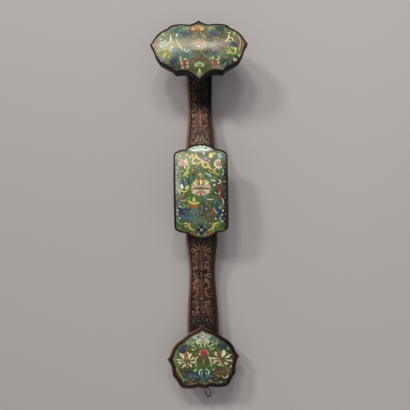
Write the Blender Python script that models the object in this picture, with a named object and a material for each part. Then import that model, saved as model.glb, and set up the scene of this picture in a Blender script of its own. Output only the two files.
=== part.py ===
"""Ruyi scepter: a curved hardwood shaft that carries three lobed wooden mounts, each with a domed cloisonne
plaque let into it, and a loop of silk cord through the tip of the tail.

The object lies on its back. +Y runs along the shaft from the tail to the head, +Z is up and X is across. The
pieces are drawn flat first: u across, v along the shaft, h above the shaft's middle plane. They are then laid
on the curve of the shaft, so layers that are parallel when flat stay parallel on the object.
"""

import bisect
import math

import bmesh
import bpy
from mathutils import Vector

MM = 0.001

# Side profile: a run is measured along Y and a rise along Z, on the shaft's middle plane.
TAIL_CURL = math.radians(9.0)
TAIL_CURL_AT_LIP = math.radians(5.0)
HEEL_LENGTH = 28.0 * MM
LOWER_REST_LENGTH = 18.0 * MM
LOWER_RUN = 118.0 * MM
LOWER_STRAIGHT = 37.55 * MM
HUMP_RISE = 23.5 * MM
HUMP_RADIUS = 128.0 * MM
NECK_RUN = 95.0 * MM
NECK_STRAIGHT = 25.44 * MM
NECK_REST_LENGTH = 11.0 * MM
THROAT_RUN = 43.0 * MM
THROAT_RISE = 15.0 * MM
THROAT_STRAIGHT = 12.4 * MM
THROAT_UPPER_RADIUS = 32.0 * MM
HEAD_BEND_RADIUS = 78.0 * MM
HEAD_TILT = math.radians(12.0)

# Section of the shaft.
SHAFT_THICKNESS = 15.0 * MM
HEAD_END_THICKNESS = 12.5 * MM
TAIL_WIDTH = 39.0 * MM
LOWER_WAIST_WIDTH = 31.8 * MM
WAIST = 23.6 * MM
HUMP_LOWER_WIDTH = 38.4 * MM
HUMP_UPPER_WIDTH = 35.6 * MM
NECK_WAIST_WIDTH = 29.4 * MM
HEAD_END_WIDTH = 31.5 * MM
FACE_CROWN = 0.9 * MM
BEAD_WIDTH = 3.4 * MM
BEAD_GROOVE = 0.7 * MM
FACE_CORNER = 2.6 * MM
BACK_CORNER = 4.0 * MM
END_UNDER_TAIL = 16.0 * MM
END_UNDER_HEAD = 15.0 * MM
NOSE_LENGTH = 9.0 * MM
NOSE_NARROWING = 0.45
# Where the sections of the nose stand, and where the plain ones start, as shares of its length.
NOSE_SECTIONS = (0.0, 0.12, 0.4)
NOSE_TO_PLAIN = 0.6
# The shoulder of the face's crown, as shares of the field's half width and of the crown's height.
CROWN_SHOULDER = (0.55, 0.7)
BEAD_TOP = 0.45
ARC_MIDDLE = 1.0 - math.cos(math.radians(45.0))

# Layers of a mount, from the seat in the shaft upwards.
GAP = 0.3 * MM
TRAY_FLOOR = 4.0 * MM
BED_THICKNESS = 0.8 * MM
PLATE_THICKNESS = 0.9 * MM
PLATE_EDGE = 0.5 * MM
ENAMEL_THICKNESS = 1.3 * MM
RIM_PROUD = 0.7 * MM
RIM_ROUNDING = 0.9 * MM
RIM_OVERHANG = 0.5 * MM
# The flat top of a rim, as shares of the way from the recess to the rim's outline.
RIM_FLAT = (0.25, 0.7)
# How a thin tray's wall turns under: in from the rim, and up from the underside, in millimetres.
TRAY_TURN = ((1.5, 0.9), (2.6, 0.0))

# Head mount.
HEAD_BOW_RADIUS = 108.0 * MM
HEAD_EDGE_DEPTH = 13.5 * MM
HEAD_BOSS_DEPTH = 10.5 * MM
HEAD_BOSS_WIDTH = 38.0 * MM
HEAD_BOSS_LENGTH = 36.0 * MM
HEAD_SEAT_DEPTH = 0.6 * MM
HEAD_RIM_WIDTH = 1.8 * MM
HEAD_CROWN = 4.0 * MM
# How its wall turns under: in from the rim, and up from the lower edge, in millimetres.
HEAD_TURN = ((0.7, 3.2), (1.6, 0.9), (4.0, 0.0))
# How its underside swells to the boss: shares of the way inwards and of the way down.
HEAD_SWELL = ((0.55, 0.16), (0.86, 0.5))

# Center and tail mounts.
CENTER_OFFSET = 1.5 * MM
CENTER_SEAT_DEPTH = 2.3 * MM
CENTER_RIM_WIDTH = 1.8 * MM
CENTER_CROWN = 3.0 * MM
TAIL_SEAT_DEPTH = 5.4 * MM
TAIL_RIM_WIDTH = 4.1 * MM
TAIL_CROWN = 3.2 * MM
TAIL_SKEW = math.radians(2.0)

# Pegs, and the hole for the cord.
PEG_RADIUS = 1.7 * MM
PEG_CLEARANCE = 0.2 * MM
PEG_IN_SHAFT = 6.0 * MM
HEAD_PEG_SPACING = 15.0 * MM
CENTER_PEG_SPACING = 18.0 * MM
CENTER_PEG_SPACING_ALONG = 62.0 * MM
TAIL_PEG_SPACING = 20.0 * MM
CORD_HOLE_RADIUS = 1.1 * MM
CORD_HOLE_FROM_TIP = 3.1 * MM
CORD_DIAMETER = 1.2 * MM

# Facets.
OUTLINE_STEP = 5.5 * MM
WIDE_STEP = 16.0 * MM
LONGEST_FACET = 15.0 * MM
MOST_TURN = math.radians(5.0)
PEG_SIDES = 12
SMOOTH_ANGLE = math.radians(32.0)

# Right half of each rim's outline, from its top cusp to its bottom one, in millimetres: across, along, and how
# far the arc to the next point swells outwards.
HEAD_RIM = (
    (0.0, 39.6, -1.3),
    (12.0, 31.0, 1.8),
    (33.5, 30.2, 0.5),
    (37.3, 25.6, 2.0),
    (53.6, 10.0, -0.2),
    (58.0, 3.4, -0.6),
    (53.8, -5.0, 0.9),
    (46.4, -19.2, 0.2),
    (32.2, -26.6, 0.4),
    (27.6, -30.8, -1.4),
    (11.6, -31.3, -0.4),
    (0.0, -39.9, 0.0),
)
CENTER_RIM = (
    (0.0, 54.5, 1.9),
    (18.4, 46.8, 0.6),
    (28.0, 44.8, 1.4),
    (32.5, 38.4, 0.0),
    (32.5, -38.4, 1.4),
    (28.0, -44.8, 0.6),
    (18.4, -46.8, 1.9),
    (0.0, -54.5, 0.0),
)
TAIL_RIM = (
    (0.0, 39.1, -1.0),
    (12.5, 31.4, 0.5),
    (25.5, 22.6, 2.4),
    (39.8, 5.6, -0.5),
    (44.5, -0.9, -0.9),
    (39.0, -13.0, 0.2),
    (37.8, -22.0, -0.4),
    (31.8, -30.4, 1.9),
    (22.0, -36.8, 0.8),
    (8.0, -35.6, -0.4),
    (0.0, -39.1, 0.0),
)

# Route of the cord, in millimetres: up out of the hole, over the tip, down to the ground, round, and back up
# into the bottom of the hole.
CORD_ROUTE = (
    (1.3, -221.5, 24.0),
    (1.3, -221.1, 26.6),
    (1.3, -221.0, 29.2),
    (1.2, -221.7, 31.5),
    (1.1, -223.4, 32.9),
    (0.9, -225.6, 32.8),
    (0.7, -227.3, 31.2),
    (0.4, -228.2, 28.6),
    (0.2, -228.6, 25.6),
    (0.0, -228.9, 22.0),
    (0.0, -229.9, 16.6),
    (0.5, -231.6, 10.6),
    (1.4, -234.0, 5.2),
    (2.35, -236.9, 1.7),
    (2.85, -239.4, 0.75),
    (3.8, -241.5, 0.7),
    (5.9, -242.4, 0.7),
    (8.0, -241.5, 0.7),
    (8.9, -239.4, 0.75),
    (8.4, -236.3, 1.6),
    (7.4, -232.8, 4.0),
    (6.0, -229.8, 7.4),
    (4.4, -227.0, 11.2),
    (2.9, -224.6, 14.6),
    (1.8, -222.9, 17.6),
    (1.4, -222.2, 20.2),
    (1.3, -221.8, 22.4),
)
CORD_POINT_SPACING = 2.0 * MM
CORD_FINE_STEPS = 12


# The side profile


def climb(run, rise, straight, upper_radius):
    """Arcs (length, first heading, last heading) that gain a height over a run and are level at both ends.

    The lower arc has the radius that the run, the rise, the straight stretch and the upper arc leave it.
    """
    radii = (run * run + rise * rise - straight * straight) / (2.0 * rise)
    steepest = math.atan2(rise - radii, run) + math.asin(
        radii / math.hypot(run, rise - radii)
    )
    return [
        ((radii - upper_radius) * steepest, 0.0, steepest),
        (straight, steepest, steepest),
        (upper_radius * steepest, steepest, 0.0),
    ]


def descend(run, drop, straight, upper_radius):
    arcs = climb(run, drop, straight, upper_radius)
    return [(length, -last, -first) for length, first, last in reversed(arcs)]


def length_of(arcs):
    return sum(length for length, _, _ in arcs)


class Curve:
    """A chain of arcs in the YZ plane. Its first and last arcs carry on past its ends."""

    def __init__(self, arcs, y=0.0, z=0.0):
        self.arcs = arcs
        self.y = y
        self.z = z

    def at(self, s):
        """(y, z, heading) at the distance s along the curve."""
        y, z = self.y, self.z
        for index, (length, first, last) in enumerate(self.arcs):
            here = s < length or index == len(self.arcs) - 1
            part = s if here else length
            turn = (last - first) / length
            heading = first + turn * part
            if abs(turn * part) < 1e-9:
                y += part * math.cos(first)
                z += part * math.sin(first)
            else:
                y += (math.sin(heading) - math.sin(first)) / turn
                z += (math.cos(first) - math.cos(heading)) / turn
            if here:
                break
            s -= length
        return y, z, heading

    def place(self, u, s, h):
        y, z, heading = self.at(s)
        return Vector((u, y - h * math.sin(heading), z + h * math.cos(heading)))

    def breaks(self, low, high):
        """Where the facets of a piece between low and high meet."""
        found = []
        start = 0.0
        for index, (length, first, last) in enumerate(self.arcs):
            parts = max(
                math.ceil(abs(last - first) / MOST_TURN),
                math.ceil(length / LONGEST_FACET),
            )
            step = length / parts
            first_part = math.floor((low - start) / step) if index == 0 else 0
            if index == len(self.arcs) - 1:
                parts = math.ceil((high - start) / step)
            found += [start + step * i for i in range(first_part, parts)]
            start += length
        return [s for s in found if low + GAP < s < high - GAP]


class Bow:
    """A straight line whose walls stay square to it, while its layers sink towards both ends like an arc."""

    def __init__(self, y, z, heading, radius):
        self.line = Curve([(radius, heading, heading)], y, z)
        self.radius = radius

    def place(self, u, s, h):
        sunk = self.radius - math.sqrt(self.radius * self.radius - s * s)
        return self.line.place(u, s, h - sunk)

    def breaks(self, low, high):
        step = self.radius * MOST_TURN
        found = [step * i for i in range(math.ceil(low / step), math.ceil(high / step))]
        return [s for s in found if low + GAP < s < high - GAP]


def half_height(outline):
    return outline[0][1] * MM


def half_depth(outline):
    return -outline[-1][1] * MM


TAIL_ARCS = [
    (half_height(TAIL_RIM) + half_depth(TAIL_RIM), -TAIL_CURL, -TAIL_CURL_AT_LIP),
    (HEEL_LENGTH, -TAIL_CURL_AT_LIP, 0.0),
]
LOWER_ARCS = climb(LOWER_RUN, HUMP_RISE, LOWER_STRAIGHT, HUMP_RADIUS)
NECK_ARCS = descend(NECK_RUN, HUMP_RISE, NECK_STRAIGHT, HUMP_RADIUS)
THROAT_ARCS = climb(THROAT_RUN, THROAT_RISE, THROAT_STRAIGHT, THROAT_UPPER_RADIUS)
HEAD_BEND_LENGTH = HEAD_BEND_RADIUS * HEAD_TILT + END_UNDER_HEAD

TAIL_MIDDLE = half_depth(TAIL_RIM)
LOWER_REST = length_of(TAIL_ARCS)
HUMP_TOP = LOWER_REST + LOWER_REST_LENGTH + length_of(LOWER_ARCS)
NECK_REST = HUMP_TOP + length_of(NECK_ARCS)
THROAT = NECK_REST + NECK_REST_LENGTH
HEAD_MIDDLE = THROAT + length_of(THROAT_ARCS) + HEAD_BEND_RADIUS * HEAD_TILT

SHAFT_CURVE = Curve(
    TAIL_ARCS
    + [(LOWER_REST_LENGTH, 0.0, 0.0)]
    + LOWER_ARCS
    + NECK_ARCS
    + [(NECK_REST_LENGTH, 0.0, 0.0)]
    + THROAT_ARCS
    + [(HEAD_BEND_LENGTH, 0.0, -HEAD_BEND_LENGTH / HEAD_BEND_RADIUS)]
)


# Outlines


def outline_points(half):
    """The closed outline, clockwise from the top cusp, from its right half."""
    right = []
    for (u, v, swell), (next_u, next_v, _) in zip(half, half[1:]):
        start = Vector((u, v)) * MM
        chord = Vector((next_u, next_v)) * MM - start
        outwards = Vector((-chord.y, chord.x)).normalized()
        count = math.ceil(chord.length / OUTLINE_STEP)
        if swell:
            count = max(2, count)
        for i in range(count):
            share = i / count
            # So shallow an arc is a parabola.
            bulge = 4.0 * swell * MM * share * (1.0 - share)
            right.append(start + chord * share + outwards * bulge)
    bottom = Vector(half[-1][:2]) * MM
    left = [Vector((-point.x, point.y)) for point in reversed(right[1:])]
    return right + [bottom] + left


def inset(points, distance):
    """The outline moved inwards, each corner along its mitre."""
    moved = []
    for i, point in enumerate(points):
        before = (point - points[i - 1]).normalized()
        after = (points[(i + 1) % len(points)] - point).normalized()
        side = Vector((before.y, -before.x))
        mitre = (side + Vector((after.y, -after.x))).normalized()
        moved.append(point + mitre * (distance / max(mitre.dot(side), 0.5)))
    return moved


def blend(first, second, share):
    return [a.lerp(b, share) for a, b in zip(first, second)]


def rounded_block(points, width, length):
    """A rounded rectangle with one point for each point of an outline, in the same direction."""
    made = []
    for point in points:
        reach = (
            abs(2.0 * point.x / width) ** 3 + abs(2.0 * point.y / length) ** 3
        ) ** (1.0 / 3.0)
        made.append(point / reach)
    return made


# Solids


def collection_named(name):
    made = bpy.data.collections.new(name)
    bpy.context.scene.collection.children.link(made)
    return made


def material_named(name, color, roughness, metallic=0.0):
    made = bpy.data.materials.new(name)
    made.use_nodes = True
    shader = made.node_tree.nodes["Principled BSDF"]
    shader.inputs["Base Color"].default_value = (*color, 1.0)
    shader.inputs["Roughness"].default_value = roughness
    shader.inputs["Metallic"].default_value = metallic
    return made


def object_from(mesh, name, collection, material=None):
    data = bpy.data.meshes.new(name)
    mesh.to_mesh(data)
    mesh.free()
    if material:
        data.materials.append(material)
    obj = bpy.data.objects.new(name, data)
    collection.objects.link(obj)
    return obj


def loft(rings):
    """A closed solid through rings of equal count, each a list of points in space."""
    mesh = bmesh.new()
    rows = [[mesh.verts.new(point) for point in ring] for ring in rings]
    for near, far in zip(rows, rows[1:]):
        for i in range(len(near)):
            mesh.faces.new((near[i - 1], near[i], far[i], far[i - 1]))
    mesh.faces.new(rows[0])
    mesh.faces.new(rows[-1])
    bmesh.ops.recalc_face_normals(mesh, faces=mesh.faces)
    return mesh


def level(points, height):
    return [(point.x, point.y, height) for point in points]


def slab(outline, low, high):
    return loft([level(outline, low), level(outline, high)])


def slice_at(mesh, places, normal):
    for place in places:
        bmesh.ops.bisect_plane(
            mesh,
            geom=mesh.verts[:] + mesh.edges[:] + mesh.faces[:],
            dist=1e-7,
            plane_co=normal * place,
            plane_no=normal,
        )


def lay(mesh, place, breaks, wide_step=None):
    """Cuts the flat piece where its facets will meet, then lays it on its curve."""
    along = [vertex.co.y for vertex in mesh.verts]
    slice_at(mesh, breaks(min(along), max(along)), Vector((0.0, 1.0, 0.0)))
    if wide_step:
        steps = int(max(vertex.co.x for vertex in mesh.verts) / wide_step)
        places = [wide_step * i for i in range(-steps, steps + 1)]
        slice_at(mesh, places, Vector((1.0, 0.0, 0.0)))
    bmesh.ops.triangulate(mesh, faces=mesh.faces)
    for vertex in mesh.verts:
        vertex.co = place(*vertex.co)
    return mesh


def smooth(obj):
    obj.data.shade_smooth()
    obj.data.set_sharp_from_angle(angle=SMOOTH_ANGLE)


def cut(obj, cutter):
    cutter.hide_render = True
    cutter.display_type = "WIRE"
    modifier = obj.modifiers.new(cutter.name, "BOOLEAN")
    modifier.operation = "DIFFERENCE"
    # The exact solver leaves open edges where a cutter's facets meet the piece's on one plane.
    modifier.solver = "MANIFOLD"
    modifier.object = cutter


def pin(name, radius, mount, spot, low, high, collection, material=None):
    """A straight round pin that stands square on a mount's curve at the spot (u, v), between two heights."""
    mesh = bmesh.new()
    bmesh.ops.create_cone(
        mesh,
        cap_ends=True,
        segments=PEG_SIDES,
        radius1=radius,
        radius2=radius,
        depth=high - low,
    )
    obj = object_from(mesh, name, collection, material)
    u, v = spot
    obj.location = mount.on_curve(u, v, (low + high) / 2.0)
    up = mount.on_curve(u, v, high) - mount.on_curve(u, v, low)
    obj.rotation_euler.x = math.atan2(-up.y, up.z)
    smooth(obj)
    return obj


# The mounts


class Mount:
    """One mount: its outlines, the heights of its layers, and the curve that it lies on."""

    def __init__(self, name, rim, rim_width, seat, floor, crown, pegs):
        self.name = name
        self.rim = outline_points(rim)
        self.recess = inset(self.rim, rim_width)
        self.seat = seat
        self.under = seat + GAP
        self.floor = self.under + floor
        self.bed = self.floor + GAP
        self.plate = self.bed + BED_THICKNESS + GAP
        self.enamel = self.plate + PLATE_THICKNESS + GAP
        self.enamel_top = self.enamel + ENAMEL_THICKNESS
        self.top = self.enamel_top + RIM_PROUD
        self.crown = crown
        self.half_width = max(point.x for point in self.recess)
        self.half_length = max(abs(point.y) for point in self.recess)
        self.pegs = pegs
        self.curve = SHAFT_CURVE
        self.middle = 0.0
        self.skew = 0.0

    def lie_on(self, curve, middle, skew=0.0):
        """Puts the mount's own origin at a distance along the curve, turned on it by the skew."""
        self.curve = curve
        self.middle = middle
        self.skew = skew

    def on_curve(self, u, v, h):
        across = u * math.cos(self.skew) - v * math.sin(self.skew)
        along = u * math.sin(self.skew) + v * math.cos(self.skew)
        return self.curve.place(across, self.middle + along, h)

    def place(self, u, v, h):
        """On the curve, and lifted by the plaque's dome above the bottom of its bed."""
        share = min(max((h - self.bed) / BED_THICKNESS, 0.0), 1.0)
        across = max(0.0, 1.0 - (u / self.half_width) ** 2)
        along = max(0.0, 1.0 - (v / self.half_length) ** 2)
        return self.on_curve(u, v, h + self.crown * across * along * share)

    def breaks(self, low, high):
        found = self.curve.breaks(self.middle + low, self.middle + high)
        return [s - self.middle for s in found]


def head_mount():
    half_thickness = HEAD_END_THICKNESS / 2.0
    above_floor = (
        3.0 * GAP + BED_THICKNESS + PLATE_THICKNESS + ENAMEL_THICKNESS + RIM_PROUD
    )
    mount = Mount(
        "head",
        HEAD_RIM,
        HEAD_RIM_WIDTH,
        half_thickness - HEAD_SEAT_DEPTH,
        HEAD_EDGE_DEPTH + HEAD_BOSS_DEPTH - above_floor,
        HEAD_CROWN,
        [(side * HEAD_PEG_SPACING / 2.0, 0.0) for side in (-1, 1)],
    )
    mount.lie_on(Bow(*SHAFT_CURVE.at(HEAD_MIDDLE), HEAD_BOW_RADIUS), 0.0)
    return mount


def center_mount():
    mount = Mount(
        "center",
        CENTER_RIM,
        CENTER_RIM_WIDTH,
        SHAFT_THICKNESS / 2.0 - CENTER_SEAT_DEPTH,
        TRAY_FLOOR,
        CENTER_CROWN,
        [
            (side * CENTER_PEG_SPACING / 2.0, end * CENTER_PEG_SPACING_ALONG / 2.0)
            for end in (-1, 1)
            for side in (-1, 1)
        ],
    )
    mount.lie_on(SHAFT_CURVE, HUMP_TOP + CENTER_OFFSET)
    return mount


def tail_mount():
    mount = Mount(
        "tail",
        TAIL_RIM,
        TAIL_RIM_WIDTH,
        SHAFT_THICKNESS / 2.0 - TAIL_SEAT_DEPTH,
        TRAY_FLOOR,
        TAIL_CROWN,
        [(side * TAIL_PEG_SPACING / 2.0, 0.0) for side in (-1, 1)],
    )
    mount.lie_on(SHAFT_CURVE, TAIL_MIDDLE, skew=TAIL_SKEW)
    return mount


def turned_under(mount, low, turn):
    return [
        level(inset(mount.rim, inwards * MM), low + up * MM) for inwards, up in turn
    ]


def head_underside(head):
    """Rings down the outer wall and under the edge, swelling down to the boss that the shaft carries."""
    edge = head.top - HEAD_EDGE_DEPTH
    foot = head.under + HEAD_SEAT_DEPTH + FACE_CROWN
    drop = edge - foot
    boss = rounded_block(head.rim, HEAD_BOSS_WIDTH, HEAD_BOSS_LENGTH)
    wall = turned_under(head, edge, HEAD_TURN)
    swell = [
        level(blend(head.rim, boss, inwards), edge - down * drop)
        for inwards, down in HEAD_SWELL
    ]
    return wall + swell + [level(boss, foot), level(boss, head.under)]


def plain_underside(mount):
    return turned_under(mount, mount.under, TRAY_TURN)


def make_tray(mount, underside, parts, cutters, material):
    """The carved wooden tray: its floor, the wall of the recess, the rounded rim, the outer wall, the underside."""
    rings = [
        level(mount.recess, mount.floor),
        level(mount.recess, mount.top - RIM_ROUNDING / 2.0),
        level(blend(mount.recess, mount.rim, RIM_FLAT[0]), mount.top),
        level(blend(mount.recess, mount.rim, RIM_FLAT[1]), mount.top),
        level(mount.rim, mount.top - RIM_ROUNDING),
        level(mount.rim, mount.top - 2.0 * RIM_ROUNDING),
        level(inset(mount.rim, RIM_OVERHANG), mount.top - 3.0 * RIM_ROUNDING),
    ]
    mesh = lay(loft(rings + underside), mount.place, mount.breaks)
    tray = object_from(mesh, mount.name + "_mount", parts, material)
    smooth(tray)
    for number, spot in enumerate(mount.pegs, 1):
        hole = pin(
            f"{mount.name}_tray_hole_{number}",
            PEG_RADIUS + PEG_CLEARANCE,
            mount,
            spot,
            mount.seat - SHAFT_THICKNESS,
            mount.floor + BED_THICKNESS,
            cutters,
        )
        cut(tray, hole)
    return tray


def make_plaque(mount, parts, materials):
    """The putty bed, the copper pan with its thin upturned edge, and the enamel that fills the pan."""
    fitted = inset(mount.recess, GAP)
    inner = inset(fitted, PLATE_EDGE)
    pan = [
        level(fitted, mount.plate),
        level(fitted, mount.enamel_top),
        level(inner, mount.enamel_top),
        level(inner, mount.plate + PLATE_THICKNESS),
    ]
    layers = (
        ("lacquer_bed", slab(fitted, mount.bed, mount.bed + BED_THICKNESS)),
        ("copper_plate", loft(pan)),
        ("enamel", slab(inset(inner, GAP), mount.enamel, mount.enamel_top)),
    )
    for layer, mesh in layers:
        lay(mesh, mount.place, mount.breaks, WIDE_STEP)
        smooth(object_from(mesh, f"{mount.name}_{layer}", parts, materials[layer]))


def make_pegs(mount, shaft, parts, cutters, material):
    bottom = mount.seat - PEG_IN_SHAFT
    for number, spot in enumerate(mount.pegs, 1):
        top = mount.floor - GAP
        name = f"{mount.name}_peg_{number}"
        pin(name, PEG_RADIUS, mount, spot, bottom, top, parts, material)
        hole = pin(
            f"{mount.name}_shaft_hole_{number}",
            PEG_RADIUS + PEG_CLEARANCE,
            mount,
            spot,
            bottom - GAP,
            mount.floor,
            cutters,
        )
        cut(shaft, hole)


# The shaft


def between(stations, s):
    """A value eased from one (distance, value) station to the next."""
    if s <= stations[0][0]:
        return stations[0][1]
    for (start, low), (end, high) in zip(stations, stations[1:]):
        if s <= end:
            share = (s - start) / (end - start)
            return low + (high - low) * share * share * (3.0 - 2.0 * share)
    return stations[-1][1]


def shaft_width(s):
    widths = (
        (LOWER_REST - HEEL_LENGTH, TAIL_WIDTH),
        (LOWER_REST + LOWER_REST_LENGTH + WAIST, LOWER_WAIST_WIDTH),
        (HUMP_TOP - half_depth(CENTER_RIM), HUMP_LOWER_WIDTH),
        (HUMP_TOP + half_height(CENTER_RIM), HUMP_UPPER_WIDTH),
        (THROAT, NECK_WAIST_WIDTH),
        (HEAD_MIDDLE, HEAD_END_WIDTH),
    )
    return between(widths, s)


def shaft_section(s):
    """The section's points (u, h), clockwise from the middle of the face: a low crown, a groove and a bead."""
    half = shaft_width(s) / 2.0
    top = between(((THROAT, SHAFT_THICKNESS), (HEAD_MIDDLE, HEAD_END_THICKNESS)), s) / 2.0
    field = half - BEAD_WIDTH
    corner = BACK_CORNER * ARC_MIDDLE
    right = [
        (0.0, top + FACE_CROWN),
        (field * CROWN_SHOULDER[0], top + FACE_CROWN * CROWN_SHOULDER[1]),
        (field, top),
        (field + BEAD_GROOVE / 2.0, top - BEAD_GROOVE),
        (half - BEAD_WIDTH * BEAD_TOP, top),
        (half, top - FACE_CORNER),
        (half, BACK_CORNER - top),
        (half - corner, corner - top),
        (half - BACK_CORNER, -top),
    ]
    left = [(-u, h) for u, h in reversed(right[1:])]
    return right + left


def make_shaft(parts, material):
    start = TAIL_MIDDLE - END_UNDER_TAIL
    end = HEAD_MIDDLE + END_UNDER_HEAD
    nose = [start + NOSE_LENGTH * share for share in NOSE_SECTIONS]
    plain = SHAFT_CURVE.breaks(start + NOSE_LENGTH * NOSE_TO_PLAIN, end)
    rings = []
    for s in nose + plain + [end]:
        # Under the tail mount the shaft ends in a rounded nose.
        short = max(0.0, 1.0 - (s - start) / NOSE_LENGTH)
        narrow = 1.0 - NOSE_NARROWING * short * short
        ring = [SHAFT_CURVE.place(u * narrow, s, h) for u, h in shaft_section(s)]
        rings.append(ring)
    mesh = loft(rings)
    bmesh.ops.triangulate(mesh, faces=mesh.faces)
    shaft = object_from(mesh, "shaft", parts, material)
    smooth(shaft)
    return shaft


def seat_outline(mount):
    return inset(mount.rim, -GAP)


def head_seat_outline(head):
    """Everything past the near end of the boss, to beyond the end of the shaft."""
    near = -HEAD_BOSS_LENGTH / 2.0 - GAP
    far = 2.0 * END_UNDER_HEAD
    side = HEAD_END_WIDTH
    corners = ((-side, near), (-side, far), (side, far), (side, near))
    return [Vector(corner) for corner in corners]


def cut_seat(shaft, mount, outline, cutters):
    above = mount.seat + SHAFT_THICKNESS
    mesh = lay(slab(outline, mount.seat, above), mount.on_curve, mount.breaks)
    cut(shaft, object_from(mesh, mount.name + "_seat", cutters))


# The cord


def through(points, spacing):
    """Points at an even spacing along a smooth curve through the given ones."""
    ends = [points[0] * 2.0 - points[1], points[-1] * 2.0 - points[-2]]
    padded = [ends[0], *points, ends[1]]
    fine = []
    for before, start, end, after in zip(padded, padded[1:], padded[2:], padded[3:]):
        leaving = (end - before) / 2.0
        arriving = (after - start) / 2.0
        for i in range(CORD_FINE_STEPS):
            t = i / CORD_FINE_STEPS
            fine.append(
                start * (2.0 * t**3 - 3.0 * t**2 + 1.0)
                + leaving * (t**3 - 2.0 * t**2 + t)
                + end * (3.0 * t**2 - 2.0 * t**3)
                + arriving * (t**3 - t**2)
            )
    fine.append(points[-1])
    reached = [0.0]
    for start, end in zip(fine, fine[1:]):
        reached.append(reached[-1] + (end - start).length)
    count = round(reached[-1] / spacing)
    spaced = []
    for i in range(count + 1):
        wanted = reached[-1] * i / count
        index = min(bisect.bisect_right(reached, wanted), len(fine) - 1)
        share = (wanted - reached[index - 1]) / (reached[index] - reached[index - 1])
        spaced.append(fine[index - 1].lerp(fine[index], share))
    return spaced


def make_cord(parts, material):
    curve = bpy.data.curves.new("tassel_cord", "CURVE")
    curve.dimensions = "3D"
    curve.bevel_depth = CORD_DIAMETER / 2.0
    curve.bevel_resolution = 2
    curve.use_fill_caps = True
    points = through([Vector(point) * MM for point in CORD_ROUTE], CORD_POINT_SPACING)
    spline = curve.splines.new("POLY")
    spline.points.add(len(points) - 1)
    for target, point in zip(spline.points, points):
        target.co = (*point, 1.0)
    curve.materials.append(material)
    cord = bpy.data.objects.new("tassel_cord", curve)
    parts.objects.link(cord)


def stand_on_origin(objects):
    """Hangs everything on an empty that brings the middle of the underside to the origin."""
    bpy.context.view_layer.update()
    corners = [
        obj.matrix_world @ Vector(corner)
        for obj in objects
        if not obj.hide_render
        for corner in obj.bound_box
    ]
    low = Vector(min(corner[axis] for corner in corners) for axis in range(3))
    high = Vector(max(corner[axis] for corner in corners) for axis in range(3))
    origin = bpy.data.objects.new("origin", None)
    bpy.context.scene.collection.objects.link(origin)
    middle = (low + high) / 2.0
    origin.location = (-middle.x, -middle.y, -low.z)
    for obj in objects:
        obj.parent = origin


def main():
    for obj in list(bpy.data.objects):
        bpy.data.objects.remove(obj, do_unlink=True)
    parts = collection_named("ruyi_scepter")
    cutters = collection_named("cutters")
    wood = material_named("carved_hardwood", (0.075, 0.032, 0.020), 0.42)
    bamboo = material_named("bamboo", (0.48, 0.34, 0.17), 0.6)
    silk = material_named("silk_cord", (0.20, 0.09, 0.06), 0.8)
    layers = {
        "lacquer_bed": material_named("lacquer_putty", (0.10, 0.06, 0.04), 0.8),
        "copper_plate": material_named("gilt_copper", (0.72, 0.47, 0.20), 0.35, 1.0),
        "enamel": material_named("green_enamel", (0.10, 0.24, 0.10), 0.18),
    }

    head, center, tail = head_mount(), center_mount(), tail_mount()
    shaft = make_shaft(parts, wood)
    cut_seat(shaft, head, head_seat_outline(head), cutters)
    cut_seat(shaft, center, seat_outline(center), cutters)
    cut_seat(shaft, tail, seat_outline(tail), cutters)
    make_tray(head, head_underside(head), parts, cutters, wood)
    make_tray(center, plain_underside(center), parts, cutters, wood)
    tail_tray = make_tray(tail, plain_underside(tail), parts, cutters, wood)
    for mount in (head, center, tail):
        make_plaque(mount, parts, layers)
        make_pegs(mount, shaft, parts, cutters, bamboo)

    cord_hole = pin(
        "cord_hole",
        CORD_HOLE_RADIUS,
        tail,
        (0.0, CORD_HOLE_FROM_TIP - half_depth(TAIL_RIM)),
        tail.seat,
        tail.top + tail.crown,
        cutters,
    )
    cut(tail_tray, cord_hole)
    stand_on_origin(list(bpy.data.objects))
    make_cord(parts, silk)


main()
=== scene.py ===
import bisect
import math

import bmesh
import bpy
import numpy as np
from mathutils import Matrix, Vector
from mathutils.geometry import delaunay_2d_cdt


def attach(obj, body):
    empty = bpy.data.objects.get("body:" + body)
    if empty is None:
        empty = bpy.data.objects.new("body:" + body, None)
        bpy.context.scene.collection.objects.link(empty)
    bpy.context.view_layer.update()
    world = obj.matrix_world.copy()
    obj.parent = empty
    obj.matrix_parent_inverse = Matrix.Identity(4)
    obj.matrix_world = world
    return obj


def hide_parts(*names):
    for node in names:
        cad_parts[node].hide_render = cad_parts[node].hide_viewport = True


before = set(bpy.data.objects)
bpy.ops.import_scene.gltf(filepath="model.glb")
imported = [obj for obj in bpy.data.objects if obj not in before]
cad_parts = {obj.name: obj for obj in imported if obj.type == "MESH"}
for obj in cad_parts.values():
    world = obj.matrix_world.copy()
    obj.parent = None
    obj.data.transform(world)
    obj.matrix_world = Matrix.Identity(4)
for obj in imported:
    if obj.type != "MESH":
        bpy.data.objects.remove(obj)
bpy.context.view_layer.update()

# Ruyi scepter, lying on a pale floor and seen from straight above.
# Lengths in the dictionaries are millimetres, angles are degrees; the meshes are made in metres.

mm = 0.001
deg = math.radians


# Camera

photo = {
    "pixels": 410,
    "focalPixels": 535,
    "eye": (4.6, 1.0, 680.0),
    "roll": 0.8,  # the head end leans to the left
}


def makeCamera():
    data = bpy.data.cameras.new("camera")
    data.sensor_width = 36
    data.lens = 36 * photo["focalPixels"] / photo["pixels"]
    data.clip_start = 0.01
    camera = bpy.data.objects.new("camera", data)
    camera.location = [value * mm for value in photo["eye"]]
    camera.rotation_euler.z = -deg(photo["roll"])
    bpy.context.scene.collection.objects.link(camera)
    bpy.context.scene.camera = camera


makeCamera()
print("camera: straight above")


# Nodes and materials

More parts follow.
